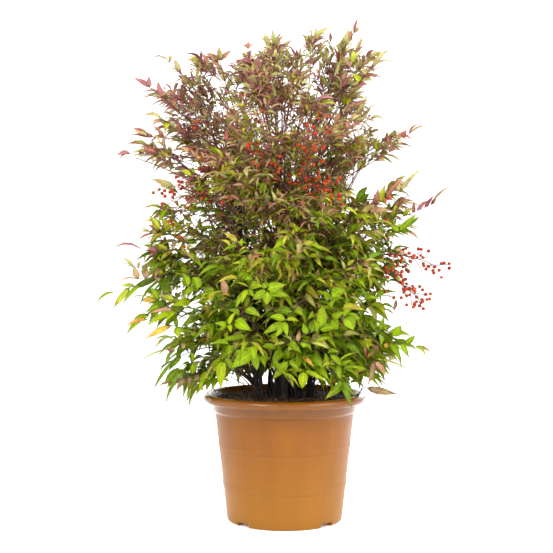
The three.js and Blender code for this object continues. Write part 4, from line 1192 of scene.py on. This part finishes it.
     (0.9, 160, 379, 5, 0.5, "deep"), (0.7, 168, 371, 10, 0.8, "deep"), (0.4, 192, 367, 9, 0.6, "mid"),
     (1, 158, 369, 5, 0.3, "deep")),
    (-40, -80, ((208, 360), (192, 362), (178, 368)), (1, 163, 387, 12, 0.8, "deep"),
     (1, 171, 393, 6, 0.5, "deep"), (0.5, 191, 375, 10, 0.8, "bright"), (0.3, 196, 370, 9, 0.6, "mid")),
    (-40, -90, ((214, 368), (196, 374), (172, 383)), (1, 158, 387, 6, 0.4, "dry"),
     (0.7, 176, 391, 10, 0.8, "dry"), (0.6, 188, 390, 9, 0.8, "dry"), (0.4, 194, 388, 9, 0.8, "dry"),
     (0.2, 199, 393, 9, 0.8, "lime"), (0.1, 206, 392, 12, 0.9, "mid"), (0.8, 168, 387, 6, 0.6, "dry")),
    (-20, -60, ((190, 126), (172, 124), (163, 121)), (1, 142, 117, 8, 0.5, "sage"),
     (1, 152, 126, 8, 0.6, "bronze"), (0.7, 165, 134, 9, 0.8, "olive")),
    (-20, -60, ((192, 142), (165, 138), (148, 136)), (1, 132, 127, 10, 0.7, "wine"),
     (1, 131, 132, 8, 0.5, "sage"), (0.9, 120, 137, 7, 0.2, "sage"), (0.85, 133, 135, 9, 0.8, "dusk"),
     (0.6, 152, 125, 9, 0.7, "bronze"), (0.5, 150, 144, 8, 0.5, "wine")),
    (-20, -60, ((196, 158), (166, 153), (130, 154)), (1, 116, 156, 9, 0.6, "dusk"),
     (1, 119, 161, 6, 0.3, "dusk"), (0.85, 138, 151, 6, 0.8, "dusk"), (0.75, 143, 145, 7, 0.7, "dusk"),
     (0.6, 146, 152, 9, 0.5, "wine"), (0.65, 146, 147, 9, 0.7, "wine"), (0.35, 160, 158, 9, 0.6, "wine"),
     (0.3, 151, 164, 8, 0.5, "olive")),
    (-40, -70, ((196, 206), (186, 200), (176, 192)), (1, 151, 179, 13, 0.7, "sage"),
     (0.9, 155, 186, 8, 0.4, "sage"), (0.3, 188, 197, 10, 0.8, "olive")),
]
frontFronds = [
    (-188, -196, ((262, 274), (266, 283), (268, 291)), (1, 290, 297, 13, 0.9, "bright"),
     (1, 267, 306, 14, 0.9, "bright"), (1, 252, 300, 13, 0.9, "bright"), (0.9, 288, 284, 16, 0.9, "bright"),
     (0.8, 262, 283, 12, 0.8, "mid")),
    (-182, -190, ((258, 270), (253, 280), (248, 289)), (1, 235, 310, 9, 0.8, "bright"),
     (1, 242, 304, 8, 0.8, "lime"), (1, 255, 298, 8, 0.8, "bright"), (0.9, 231, 282, 4, 0.6, "lime"),
     (0.8, 264, 286, 13, 0.8, "mid"), (0.5, 243, 280, 11, 0.7, "mid")),
    (-172, -186, ((300, 302), (293, 312), (284, 322)), (1, 262, 335, 11, 0.9, "mid"),
     (1, 274, 339, 11, 0.9, "bright"), (1, 288, 338, 10, 0.9, "bright"), (0.9, 300, 322, 7, 0.6, "lime"),
     (0.9, 268, 318, 12, 0.7, "mid"), (0.5, 272, 313, 13, 0.7, "deep"), (0.4, 305, 318, 10, 0.6, "mid")),
    (-168, -186, ((252, 300), (240, 317), (227, 326)), (1, 219, 331, 7, 0.8, "lime"),
     (1, 213, 323, 10, 0.8, "bright"), (0.95, 237, 310, 7, 0.6, "lime"), (0.9, 231, 333, 7, 0.8, "lime"),
     (0.7, 252, 331, 17, 0.9, "mid"), (0.5, 226, 309, 13, 0.7, "deep"), (0.3, 262, 318, 12, 0.7, "mid")),
    (-158, -172, ((300, 336), (312, 333), (321, 328)), (1, 322, 303, 16, 1, "mid"),
     (0.9, 338, 328, 14, 0.8, "mid"), (0.5, 316, 318, 15, 0.8, "deep"), (0.3, 303, 322, 10, 0.7, "mid")),
    (-150, -164, ((318, 322), (332, 318), (346, 316)), (1, 361, 319, 13, 0.9, "bright"),
     (0.5, 345, 311, 11, 0.9, "bright"), (1, 354, 331, 20, 1, "mid"), (0.5, 338, 331, 15, 0.9, "mid"),
     (0.9, 352, 306, 10, 0.6, "mid")),
    (-158, -170, ((318, 344), (300, 341), (285, 343)), (1, 271, 347, 6, 0.6, "faded"),
     (0.8, 281, 335, 6, 0.6, "faded"), (0.6, 300, 330, 7, 0.8, "bronze"), (0.4, 303, 348, 12, 0.8, "mid"),
     (0.2, 330, 350, 6, 0.6, "faded"), (0.7, 288, 352, 7, 0.7, "faded"), (0.1, 334, 338, 9, 0.6, "bright")),
    (-130, -160, ((262, 345), (258, 350), (252, 353)), (1, 230, 369, 20, 0.9, "bright"),
     (1, 240, 350, 9, 0.7, "mid"), (0.8, 257, 372, 13, 0.9, "mid"), (0.3, 267, 363, 9, 0.8, "bright"),
     (0.1, 281, 352, 10, 0.7, "mid")),
    (-130, -156, ((250, 340), (236, 350), (223, 360)), (1, 221, 390, 15, 0.9, "lime"),
     (1, 212, 373, 12, 0.9, "bright"), (0.9, 233, 372, 10, 0.8, "mid"), (0.6, 228, 346, 9, 0.6, "bright"),
     (0.5, 244, 362, 12, 0.8, "mid")),
    (-120, -146, ((300, 350), (294, 356), (288, 361)), (1, 272, 381, 13, 0.9, "bright"),
     (0.9, 300, 371, 9, 0.8, "mid"), (0.5, 277, 357, 13, 0.7, "mid")),
    (-116, -136, ((304, 352), (306, 362), (304, 371)), (1, 282, 373, 7, 0.7, "lime"),
     (1, 302, 391, 15, 0.95, "lime"), (1, 329, 383, 7, 0.8, "lime"), (0.2, 326, 379, 12, 0.8, "mid"),
     (0.4, 290, 363, 8, 0.7, "mid")),
    (-116, -146, ((305, 345), (318, 350), (330, 354)), (1, 342, 368, 9, 0.8, "mid"),
     (0.9, 340, 352, 9, 0.7, "bright"), (0.5, 312, 366, 9, 0.8, "deep"), (0.4, 324, 341, 10, 0.7, "mid"),
     (0.8, 328, 372, 8, 0.9, "mid")),
    (-110, -138, ((318, 348), (332, 360), (342, 368)), (1, 367, 372, 6, 0.6, "bright"),
     (1, 359, 377, 5, 0.6, "bright"), (0.9, 353, 360, 7, 0.6, "mid"), (0.8, 340, 381, 9, 0.9, "mid")),
    (-100, -116, ((318, 360), (336, 372), (342, 381)), (1, 332, 394, 10, 0.9, "deep"),
     (1, 352, 408, 11, 0.9, "deep"), (1, 356, 397, 9, 0.8, "deep"), (0.8, 347, 391, 8, 0.8, "mid")),
]
shootFacts = {
    "radius": (1.7, 1.05, 0.6), "leaningRadius": (1.7, 0.8), "steps": 12, "leafWidth": 1.15,
    "tipUnrest": 16, "nearer": 6,  # how much nearer than its stalk a front frond's leaflet ends
    "inward": 0.4, "slope": 0.7, "below": 30, "lowest": 250, "pull": 0.45, "rise": 20,
}


def seenAt(across, down, y):
    # the place at that depth, to a millimetre, that the camera sees at that point of its picture: a ray
    # through the point, tipped by the camera's pitch and followed until it is as far back as y
    f = cameraFacts
    focal, pitch = f["lens"] / f["sensor"] * f["picture"], np.radians(f["pitch"])
    u, v = (across - f["picture"] / 2) / focal, (f["picture"] / 2 - down) / focal
    reach = (y + f["distance"]) / (np.cos(pitch) + v * np.sin(pitch))
    z = f["height"] + reach * (v * np.cos(pitch) - np.sin(pitch))
    return np.array([round(f["aside"] + reach * u), round(y), round(z)], float)


def stalkTo(stalk):
    # from the nearest cane a smooth bend to the stalk's first point, which it reaches along the stalk
    start, f = stalk[0], shootFacts
    apart = np.linalg.norm(caneCurve[:, 2, :2] - f["inward"] * start[:2], axis=1)
    carrier = caneCurve[np.argmin(apart)]
    low = start[2] - f["slope"] * abs(start[0]) - f["below"]
    foot = atHeight(carrier, np.clip(low, f["lowest"], carrier[2, 2] - 10))
    bend = start - f["pull"] * np.linalg.norm(start - foot) * unit(stalk[1] - start)
    bend[2] = np.clip(bend[2], foot[2], start[2] + f["rise"])
    return np.array([foot, bend, start])


def growShoots():
    # odd twigs, leaning stems and shoots; each of their leaflets is laid from its stalk to its own tip
    f = shootFacts
    paths, ends, leaves = [twig[:3] for twig in oddTwigs], [twig[3:] for twig in oddTwigs], []
    for height, bend, tip in leaning:
        paths.append([atHeight(caneCurve[caneToward(0 if tip[0] > 0 else 180, True)], height), bend, tip])
        ends.append(f["leaningRadius"])
    for index, (first, last, path, *leaflets) in enumerate(edgeShoots + frontFronds):
        depths = (first, (first + last) / 2, last)
        stalk = np.array([seenAt(*point, y) for point, y in zip(path, depths)])
        paths += [stalkTo(stalk), stalk]
        ends += [f["radius"][:2], f["radius"][1:]]
        nearer = 0 if index < len(edgeShoots) else f["nearer"]
        for number, (share, across, down, width, facing, tint) in enumerate(leaflets):
            root = onCurve(stalk, share)
            tip = seenAt(across, down, first + (last - first) * share - nearer)
            tip[1] = root[1] + f["tipUnrest"] * swing(index, number, 61)
            blade = unit(np.array([0.2 * swing(index, number, 62), -facing, 1.05 - facing]))
            leaves.append((root, tip, f["leafWidth"] * width, blade, tint))
    forward = unit(np.array([0.2, -0.7, 0.7]))
    leaves += [(foot, tip, width, forward, tint) for foot, tip, width, tint in oddLeaves]
    root, tip, width, blade, tint = zip(*leaves)
    root, tip = np.array(root, float), np.array(tip, float)
    radii = np.array([np.linspace(*pair, f["steps"]) for pair in ends])
    lines = onCurve(np.array(paths, float)[:, None], np.linspace(0, 1, f["steps"])[None])
    return tubes(lines, radii, 6), {
        "root": root, "along": unit(tip - root), "blade": np.array(blade),
        "length": np.linalg.norm(tip - root, axis=1), "width": np.array(width, float),
        "isLaid": np.ones(len(root), bool), "tint": np.array([list(tints).index(name) for name in tint]),
    }


def paintLeaf(name, tint):
    # two tones and a paler one in clouds that is partly tone and partly painted highlight, flecks of the
    # rim's colour, a blush near the tip, the rim itself, a midrib, and slanting veins that stand out a little
    p = Paint("leaf_" + name)
    at = p.place()
    u, v, _ = p.uv()
    isGreen = tint["slot"] == "leaf_green"
    pale = lambda gain, lift: [min(255, gain * c + lift) for c in tint["colour"]]
    colour = p.mix(p.tone(), linear(*tint["colour"]), linear(*tint["other"]))
    # paler clouds: partly a paler tone of the leaf, partly painted highlight
    colour = p.over(colour, pale(1.1, 5) if isGreen else pale(1.13, 15), p.noise(80, 3, at), 0.42, 0.66, 0.7)
    colour = p.over(colour, tint["rim"], p.noise(56, 3, at), 0.5, 0.66, 0.6)
    blush = p.math("MULTIPLY", p.span(u, 0.5, 1.0), p.span(p.noise(34, 2, at), 0.5, 0.7, 0, 0.6))
    colour = p.mix(blush, colour, linear(156, 88, 44))
    middle = p.math("ABSOLUTE", p.math("SUBTRACT", v, 0.5))
    colour = p.over(colour, tint["rim"], middle, 0.3, 0.5, 0.6 if isGreen else 0.85)
    rib = p.span(middle, 0.02, 0.08, 0.6, 0.0)
    colour = p.mix(rib, colour, linear(*pale(1.25, 24)) if isGreen else linear(180, 130, 100))
    vein = p.math("SINE", p.math("ADD", p.math("MULTIPLY", u, 60), p.math("MULTIPLY", middle, -46)))
    colour = p.over(colour, pale(1.2, 16), vein, 0.2, 1.0, 0.25)
    height = p.math("ADD", p.math("MULTIPLY", vein, 0.4), p.math("MULTIPLY", rib, -3.0))
    return p.finish(
        Base_Color=colour, Roughness=0.44, Specular_IOR_Level=0.12 if isGreen else 0.2,
        Normal=p.bump(height, 0.0003, 0.5),
    )


def paintTwigs():
    # dark brown low down and redder high up, both in patches
    p = Paint("leafStalks")
    at = p.place()
    isHigh, patch = p.span(p.parts(at)[2], 0.3, 0.64), p.span(p.noise(22, 2, at), 0.35, 0.65)
    low = p.mix(patch, linear(42, 26, 24), linear(70, 46, 30))
    tone = p.mix(isHigh, low, p.mix(patch, linear(88, 38, 36), linear(116, 66, 44)))
    return p.finish(Base_Color=tone, Roughness=0.55, Normal=p.bump(p.noise(300, 2, at), 0.0004, 0.4))


def makeStalks(sprays, pinnae, stems, shown, shootStalks):
    # every stalk ends at its outermost leaflet
    g = growth
    isLeafy = shown > 0
    last = np.zeros(len(sprays))
    np.maximum.at(last, pinnae["spray"][isLeafy], pinnae["at"][isLeafy])
    isBorne = last > 0
    steps = np.linspace(0, 1, 12)
    thick = np.where(stack(sprays, "kind") == "main", g["stalkRadius"], g["lesserRadius"])[isBorne, None]
    lines = onCurve(stack(sprays, "curve")[isBorne, None], steps * last[isBorne, None])
    rachis = tubes(lines, thick + (g["tipRadius"] - thick) * steps, 6)
    lines = onCurve(pinnae["curve"][isLeafy][:, None], np.linspace(0, 1, 4) * shown[isLeafy, None])
    pinna = tubes(lines, np.broadcast_to(np.linspace(*g["pinnaRadius"], 4), lines.shape[:2]), 3)
    pinnule = tubes(stems, np.broadcast_to(g["pinnuleRadius"], stems.shape[:2]), 3)
    stalks = [f"stalk_{name}_{i + 1}" for name in ("low", "middle") for i in range(6)]
    addPiece("leaf_stalks", joined([rachis, pinna, shootStalks]), paintTwigs(), stalks)
    addPiece("leaflet_stalks", pinnule, bpy.data.materials["leafStalks"], [])


def makeFoliage():
    # a leaflet's luck is its spray's, moved a little for its pinna and for itself; it deals the tints
    sprays = makeSprays()
    sprays = sprays + makeCompanions(sprays) + makeInner() + makeArms()
    pinnae = growPinnae(sprays)
    leaves, stems, shown = growLeaflets(sprays, pinnae)
    shootStalks, edgeLeaves = growShoots()
    makeStalks(sprays, pinnae, stems, shown, shootStalks)
    spray, number = pinnae["spray"], pinnae["number"]
    unrest = growth["pinnaLuck"] * swing(spray * 13 + number, 2, 82)
    luck = chance(stack(sprays, "key")[spray], 1, 81) + unrest
    luck = (luck[leaves.pop("owner")] + growth["leafletLuck"] * leaves.pop("luck")) % 1
    leaves["tint"] = dealTints(leaves["root"], luck)
    leaves = {key: np.concatenate([value, edgeLeaves[key]]) for key, value in leaves.items()}
    for index, (name, facts) in enumerate(tints.items()):
        mine = {key: value[leaves["tint"] == index] for key, value in leaves.items()}
        nodes = [
            f"leaves_{tier}_{i + 1}" for tier in slotTiers[facts["slot"]]
            for i in range(tiers[tierNames.index(tier)]["count"])
        ]
        stations = leafForm["stations"]["leaf_green" if facts["slot"] == "leaf_green" else "leaf_olive"]
        creases = leafCreases(len(mine["root"]), len(stations))
        shape = leafShapes(mine, stations)
        addPiece("leaves_" + name, shape, paintLeaf(name, facts), nodes, creases)
    print(len(leaves["root"]), "leaflets on", len(sprays), "leaves")


makeFoliage()

berries = {
    "radius": 3.35, "unrest": 0.24, "long": 0.94, "dimple": 0.86, "rings": 6, "sides": 9,
    "seats": (0.3, 0.5, 0.68, 0.85, 1.0), "stalk": 7, "stalkUnrest": 4, "kept": 0.8,
    "mainRadius": (2.1, 0.7), "sideRadius": (0.8, 0.5), "stalkRadius": (0.45, 0.4, 0.4),
    "forkAt": 0.42, "forkBow": 0.1, "laterBare": 0.3, "turnUnrest": 60, "along": 0.75, "out": 0.66,
    "down": 0.6, "shorten": 0.5, "shortest": 0.7, "lengthUnrest": 0.4, "sag": 0.12,
    "sprigRadius": (1.1, 0.5), "sprigStalk": 9, "sprigFoot": 0.78, "sprigBow": 30, "sprigGap": 0.04,
    "sprigDroop": 0.4,
}
panicles = [  # on each branch: azimuth, reach and height of its tip, and side stalks
    {"name": "right", "from": 448, "bow": 84, "spread": 48, "bare": 0.56, "droop": 0.1,
     "branches": ((-12, 276, 468, 12), (-21, 250, 414, 13))},
    {"name": "middle", "from": 500, "bow": 40, "spread": 46, "bare": 0.46, "droop": 0.0,
     "branches": ((-74, 182, 690, 10), (-66, 182, 600, 8), (-108, 168, 664, 5))},
    {"name": "left", "from": 485, "bow": 60, "spread": 38, "bare": 0.6, "droop": 0.6,
     "branches": ((-150, 172, 668, 6), (-157, 216, 610, 6))},
]
sprigs = [  # single stalks with a few berries: azimuth, reach and height of the tip, and berries
    (-140, 206, 722, 3), (-106, 176, 734, 4), (-68, 178, 730, 3), (-140, 232, 514, 2), (-40, 232, 586, 2),
    (-166, 204, 634, 2), (-160, 236, 590, 2), (-164, 214, 556, 2), (-22, 200, 558, 2), (-128, 170, 584, 2),
    (70, 190, 690, 4), (130, 226, 610, 4), (30, 236, 520, 3), (-172, 236, 606, 1),
]


def panicleCurves(panicle):
    # the first branch bows out from the nearest cane, and the others fork from it before its middle
    tips = [polar(reach, azimuth, height) for azimuth, reach, height, _ in panicle["branches"]]
    carrier = caneCurve[caneToward(panicle["branches"][0][0], False)]
    main = bowTo(atHeight(carrier, panicle["from"]), tips[0], panicle["bow"], 0.45)
    fork = onCurve(main, berries["forkAt"])
    return [main] + [bowTo(fork, tip, berries["forkBow"] * panicle["bow"], 0.5) for tip in tips[1:]]


def growPanicle(panicle, index):
    # side stalks turn round the branch by the golden angle; each bears short stalks with one berry each
    stalks, spots, b = [], [], berries
    for branch, curve in enumerate(panicleCurves(panicle)):
        nodes = panicle["branches"][branch][3]
        bare = b["laterBare"] if branch else panicle["bare"]
        node, seats = np.arange(nodes), np.arange(len(b["seats"]))
        key = 20 * index + 10 * branch + node
        share = bare + (1 - bare) * node / (nodes - 1)
        point, along = onCurve(curve[None], share), headingOn(curve[None], share)
        side = unit(np.cross(along, up))
        lift = np.cross(side, along)
        turn = np.radians(node * goldenAngle + b["turnUnrest"] * chance(key, 21, 1))[:, None]
        out = side * np.cos(turn) + lift * np.sin(turn)
        heading = along * b["along"] + out * b["out"] - up * panicle["droop"] * b["down"]
        unrest = b["shortest"] + b["lengthUnrest"] * chance(key, 22, 1)
        length = (panicle["spread"] * (1 - b["shorten"] * node / nodes) * unrest)[:, None]
        reach = unit(heading) * length
        stalks.append(np.stack([point, point + 0.5 * reach, point + reach - up * b["sag"] * length], 1))
        seat = onCurve(stalks[-1][:, None], np.array(b["seats"])[None])
        lean = np.stack([swing(key[:, None], seats, 90 + i) for i in range(3)], -1)
        stalk = b["stalk"] + b["stalkUnrest"] * chance(key[:, None], seats, 93)
        berry = seat + unit(lean + 0.4 * unit(heading)[:, None]) * stalk[..., None]
        kept = chance(key[:, None], seats, 94) < b["kept"]
        spots.append(np.stack([seat[kept], berry[kept]], 1))
    return np.concatenate(stalks), np.concatenate(spots)


def growSprigs():
    # berries on short stalks round the end of a stalk that arches out from the nearest cane
    curves, spots, b = [], [], berries
    for index, (azimuth, reach, height, count) in enumerate(sprigs):
        carrier = caneCurve[caneToward(azimuth, False)]
        foot = atHeight(carrier, min(b["sprigFoot"] * height, carrier[2, 2] - 4))
        curves.append(bowTo(foot, polar(reach, azimuth, height), b["sprigBow"]))
        n = np.arange(count)
        seat = onCurve(curves[-1][None], 1 - b["sprigGap"] * n)
        lean = np.stack([swing(index, n, 96 + i) for i in range(3)], -1) - b["sprigDroop"] * up
        spots.append(np.stack([seat, seat + b["sprigStalk"] * unit(lean)], 1))
    return np.concatenate(spots), np.array(curves)


def berryShapes(spots):
    # a ball a little flatter than round, dimpled at the tip where the style was
    axis = unit(spots[:, 1] - spots[:, 0])
    side = unit(np.cross(axis, np.array([0.3, 0.9, 0.2])))
    lift = np.cross(axis, side)
    angle = np.linspace(0, np.pi, berries["rings"] + 2)[1:-1, None]
    turn = np.arange(berries["sides"]) * 2 * np.pi / berries["sides"]
    unrest = berries["unrest"] * (chance(spots[:, 0, 0], 1, 95) - 0.5)
    radius = berries["radius"] * (1 + unrest)[:, None, None]
    r = np.sin(angle) * radius
    z = -berries["long"] * np.cos(angle) * radius + 0 * turn
    vector = lambda a, b: a[..., None] * b[:, None, None]
    points = vector(r * np.cos(turn), side) + vector(r * np.sin(turn), lift) + vector(z, axis)
    ends = np.array([-berries["long"], berries["dimple"]])[:, None] * radius * axis[:, None]
    flat = np.stack(np.broadcast_arrays(angle / np.pi, 1 - turn / (2 * np.pi)), -1).reshape(-1, 2)
    flat = np.concatenate([flat, [[0, 0], [1, 0]]])
    at = spots[:, 1]
    return closedRings(at[:, None, None] + points, at[:, None] + ends, flat, chance(spots[:, 0, 2], 2, 95))


def paintBerries():
    # two reds, orange clouds, and a dark spot where the style was
    p = Paint("glossyBerries")
    colour = p.mix(p.tone(), linear(160, 50, 0), linear(126, 25, 0))
    colour = p.over(colour, (192, 86, 2), p.noise(120, 2, p.place()), 0.5, 0.72, 0.4)
    colour = p.over(colour, (48, 26, 18), p.uv()[0], 0.9, 0.97)
    return p.finish(Base_Color=colour, Roughness=0.22, Specular_IOR_Level=0.2)


def makeFruit():
    # the berries of each panicle, then the loose ones, then all the stalks that bear them
    stalkShapes, red, thin = [], paintBerries(), berries["stalkRadius"]
    for index, panicle in enumerate(panicles):
        stalks, spots = growPanicle(panicle, index)
        name = panicle["name"]
        addPiece("berries_" + name, berryShapes(spots), red, ["fruit_" + name])
        stalkShapes.append(stalkTubes(np.array(panicleCurves(panicle)), berries["mainRadius"], 14, 6))
        stalkShapes.append(stalkTubes(stalks, berries["sideRadius"], 5, 4))
        foot, berry = spots[:, [0]], spots[:, [1]]
        short = foot + (berry - foot) * np.array([0, 0.5, 0.9])[:, None]
        stalkShapes.append(tubes(short, np.broadcast_to(thin, short.shape[:2]), 3))
        print(len(spots), "berries on the", name)
    spots, curves = growSprigs()
    addPiece("berries_loose", berryShapes(spots), red, [])
    stalkShapes.append(stalkTubes(curves, berries["sprigRadius"], 10, 5))
    stalkShapes.append(tubes(spots, np.broadcast_to(thin[:2], spots.shape[:2]), 3))
    addPiece("fruit_stalks", joined(stalkShapes), bpy.data.materials["leafStalks"], [])


makeFruit()
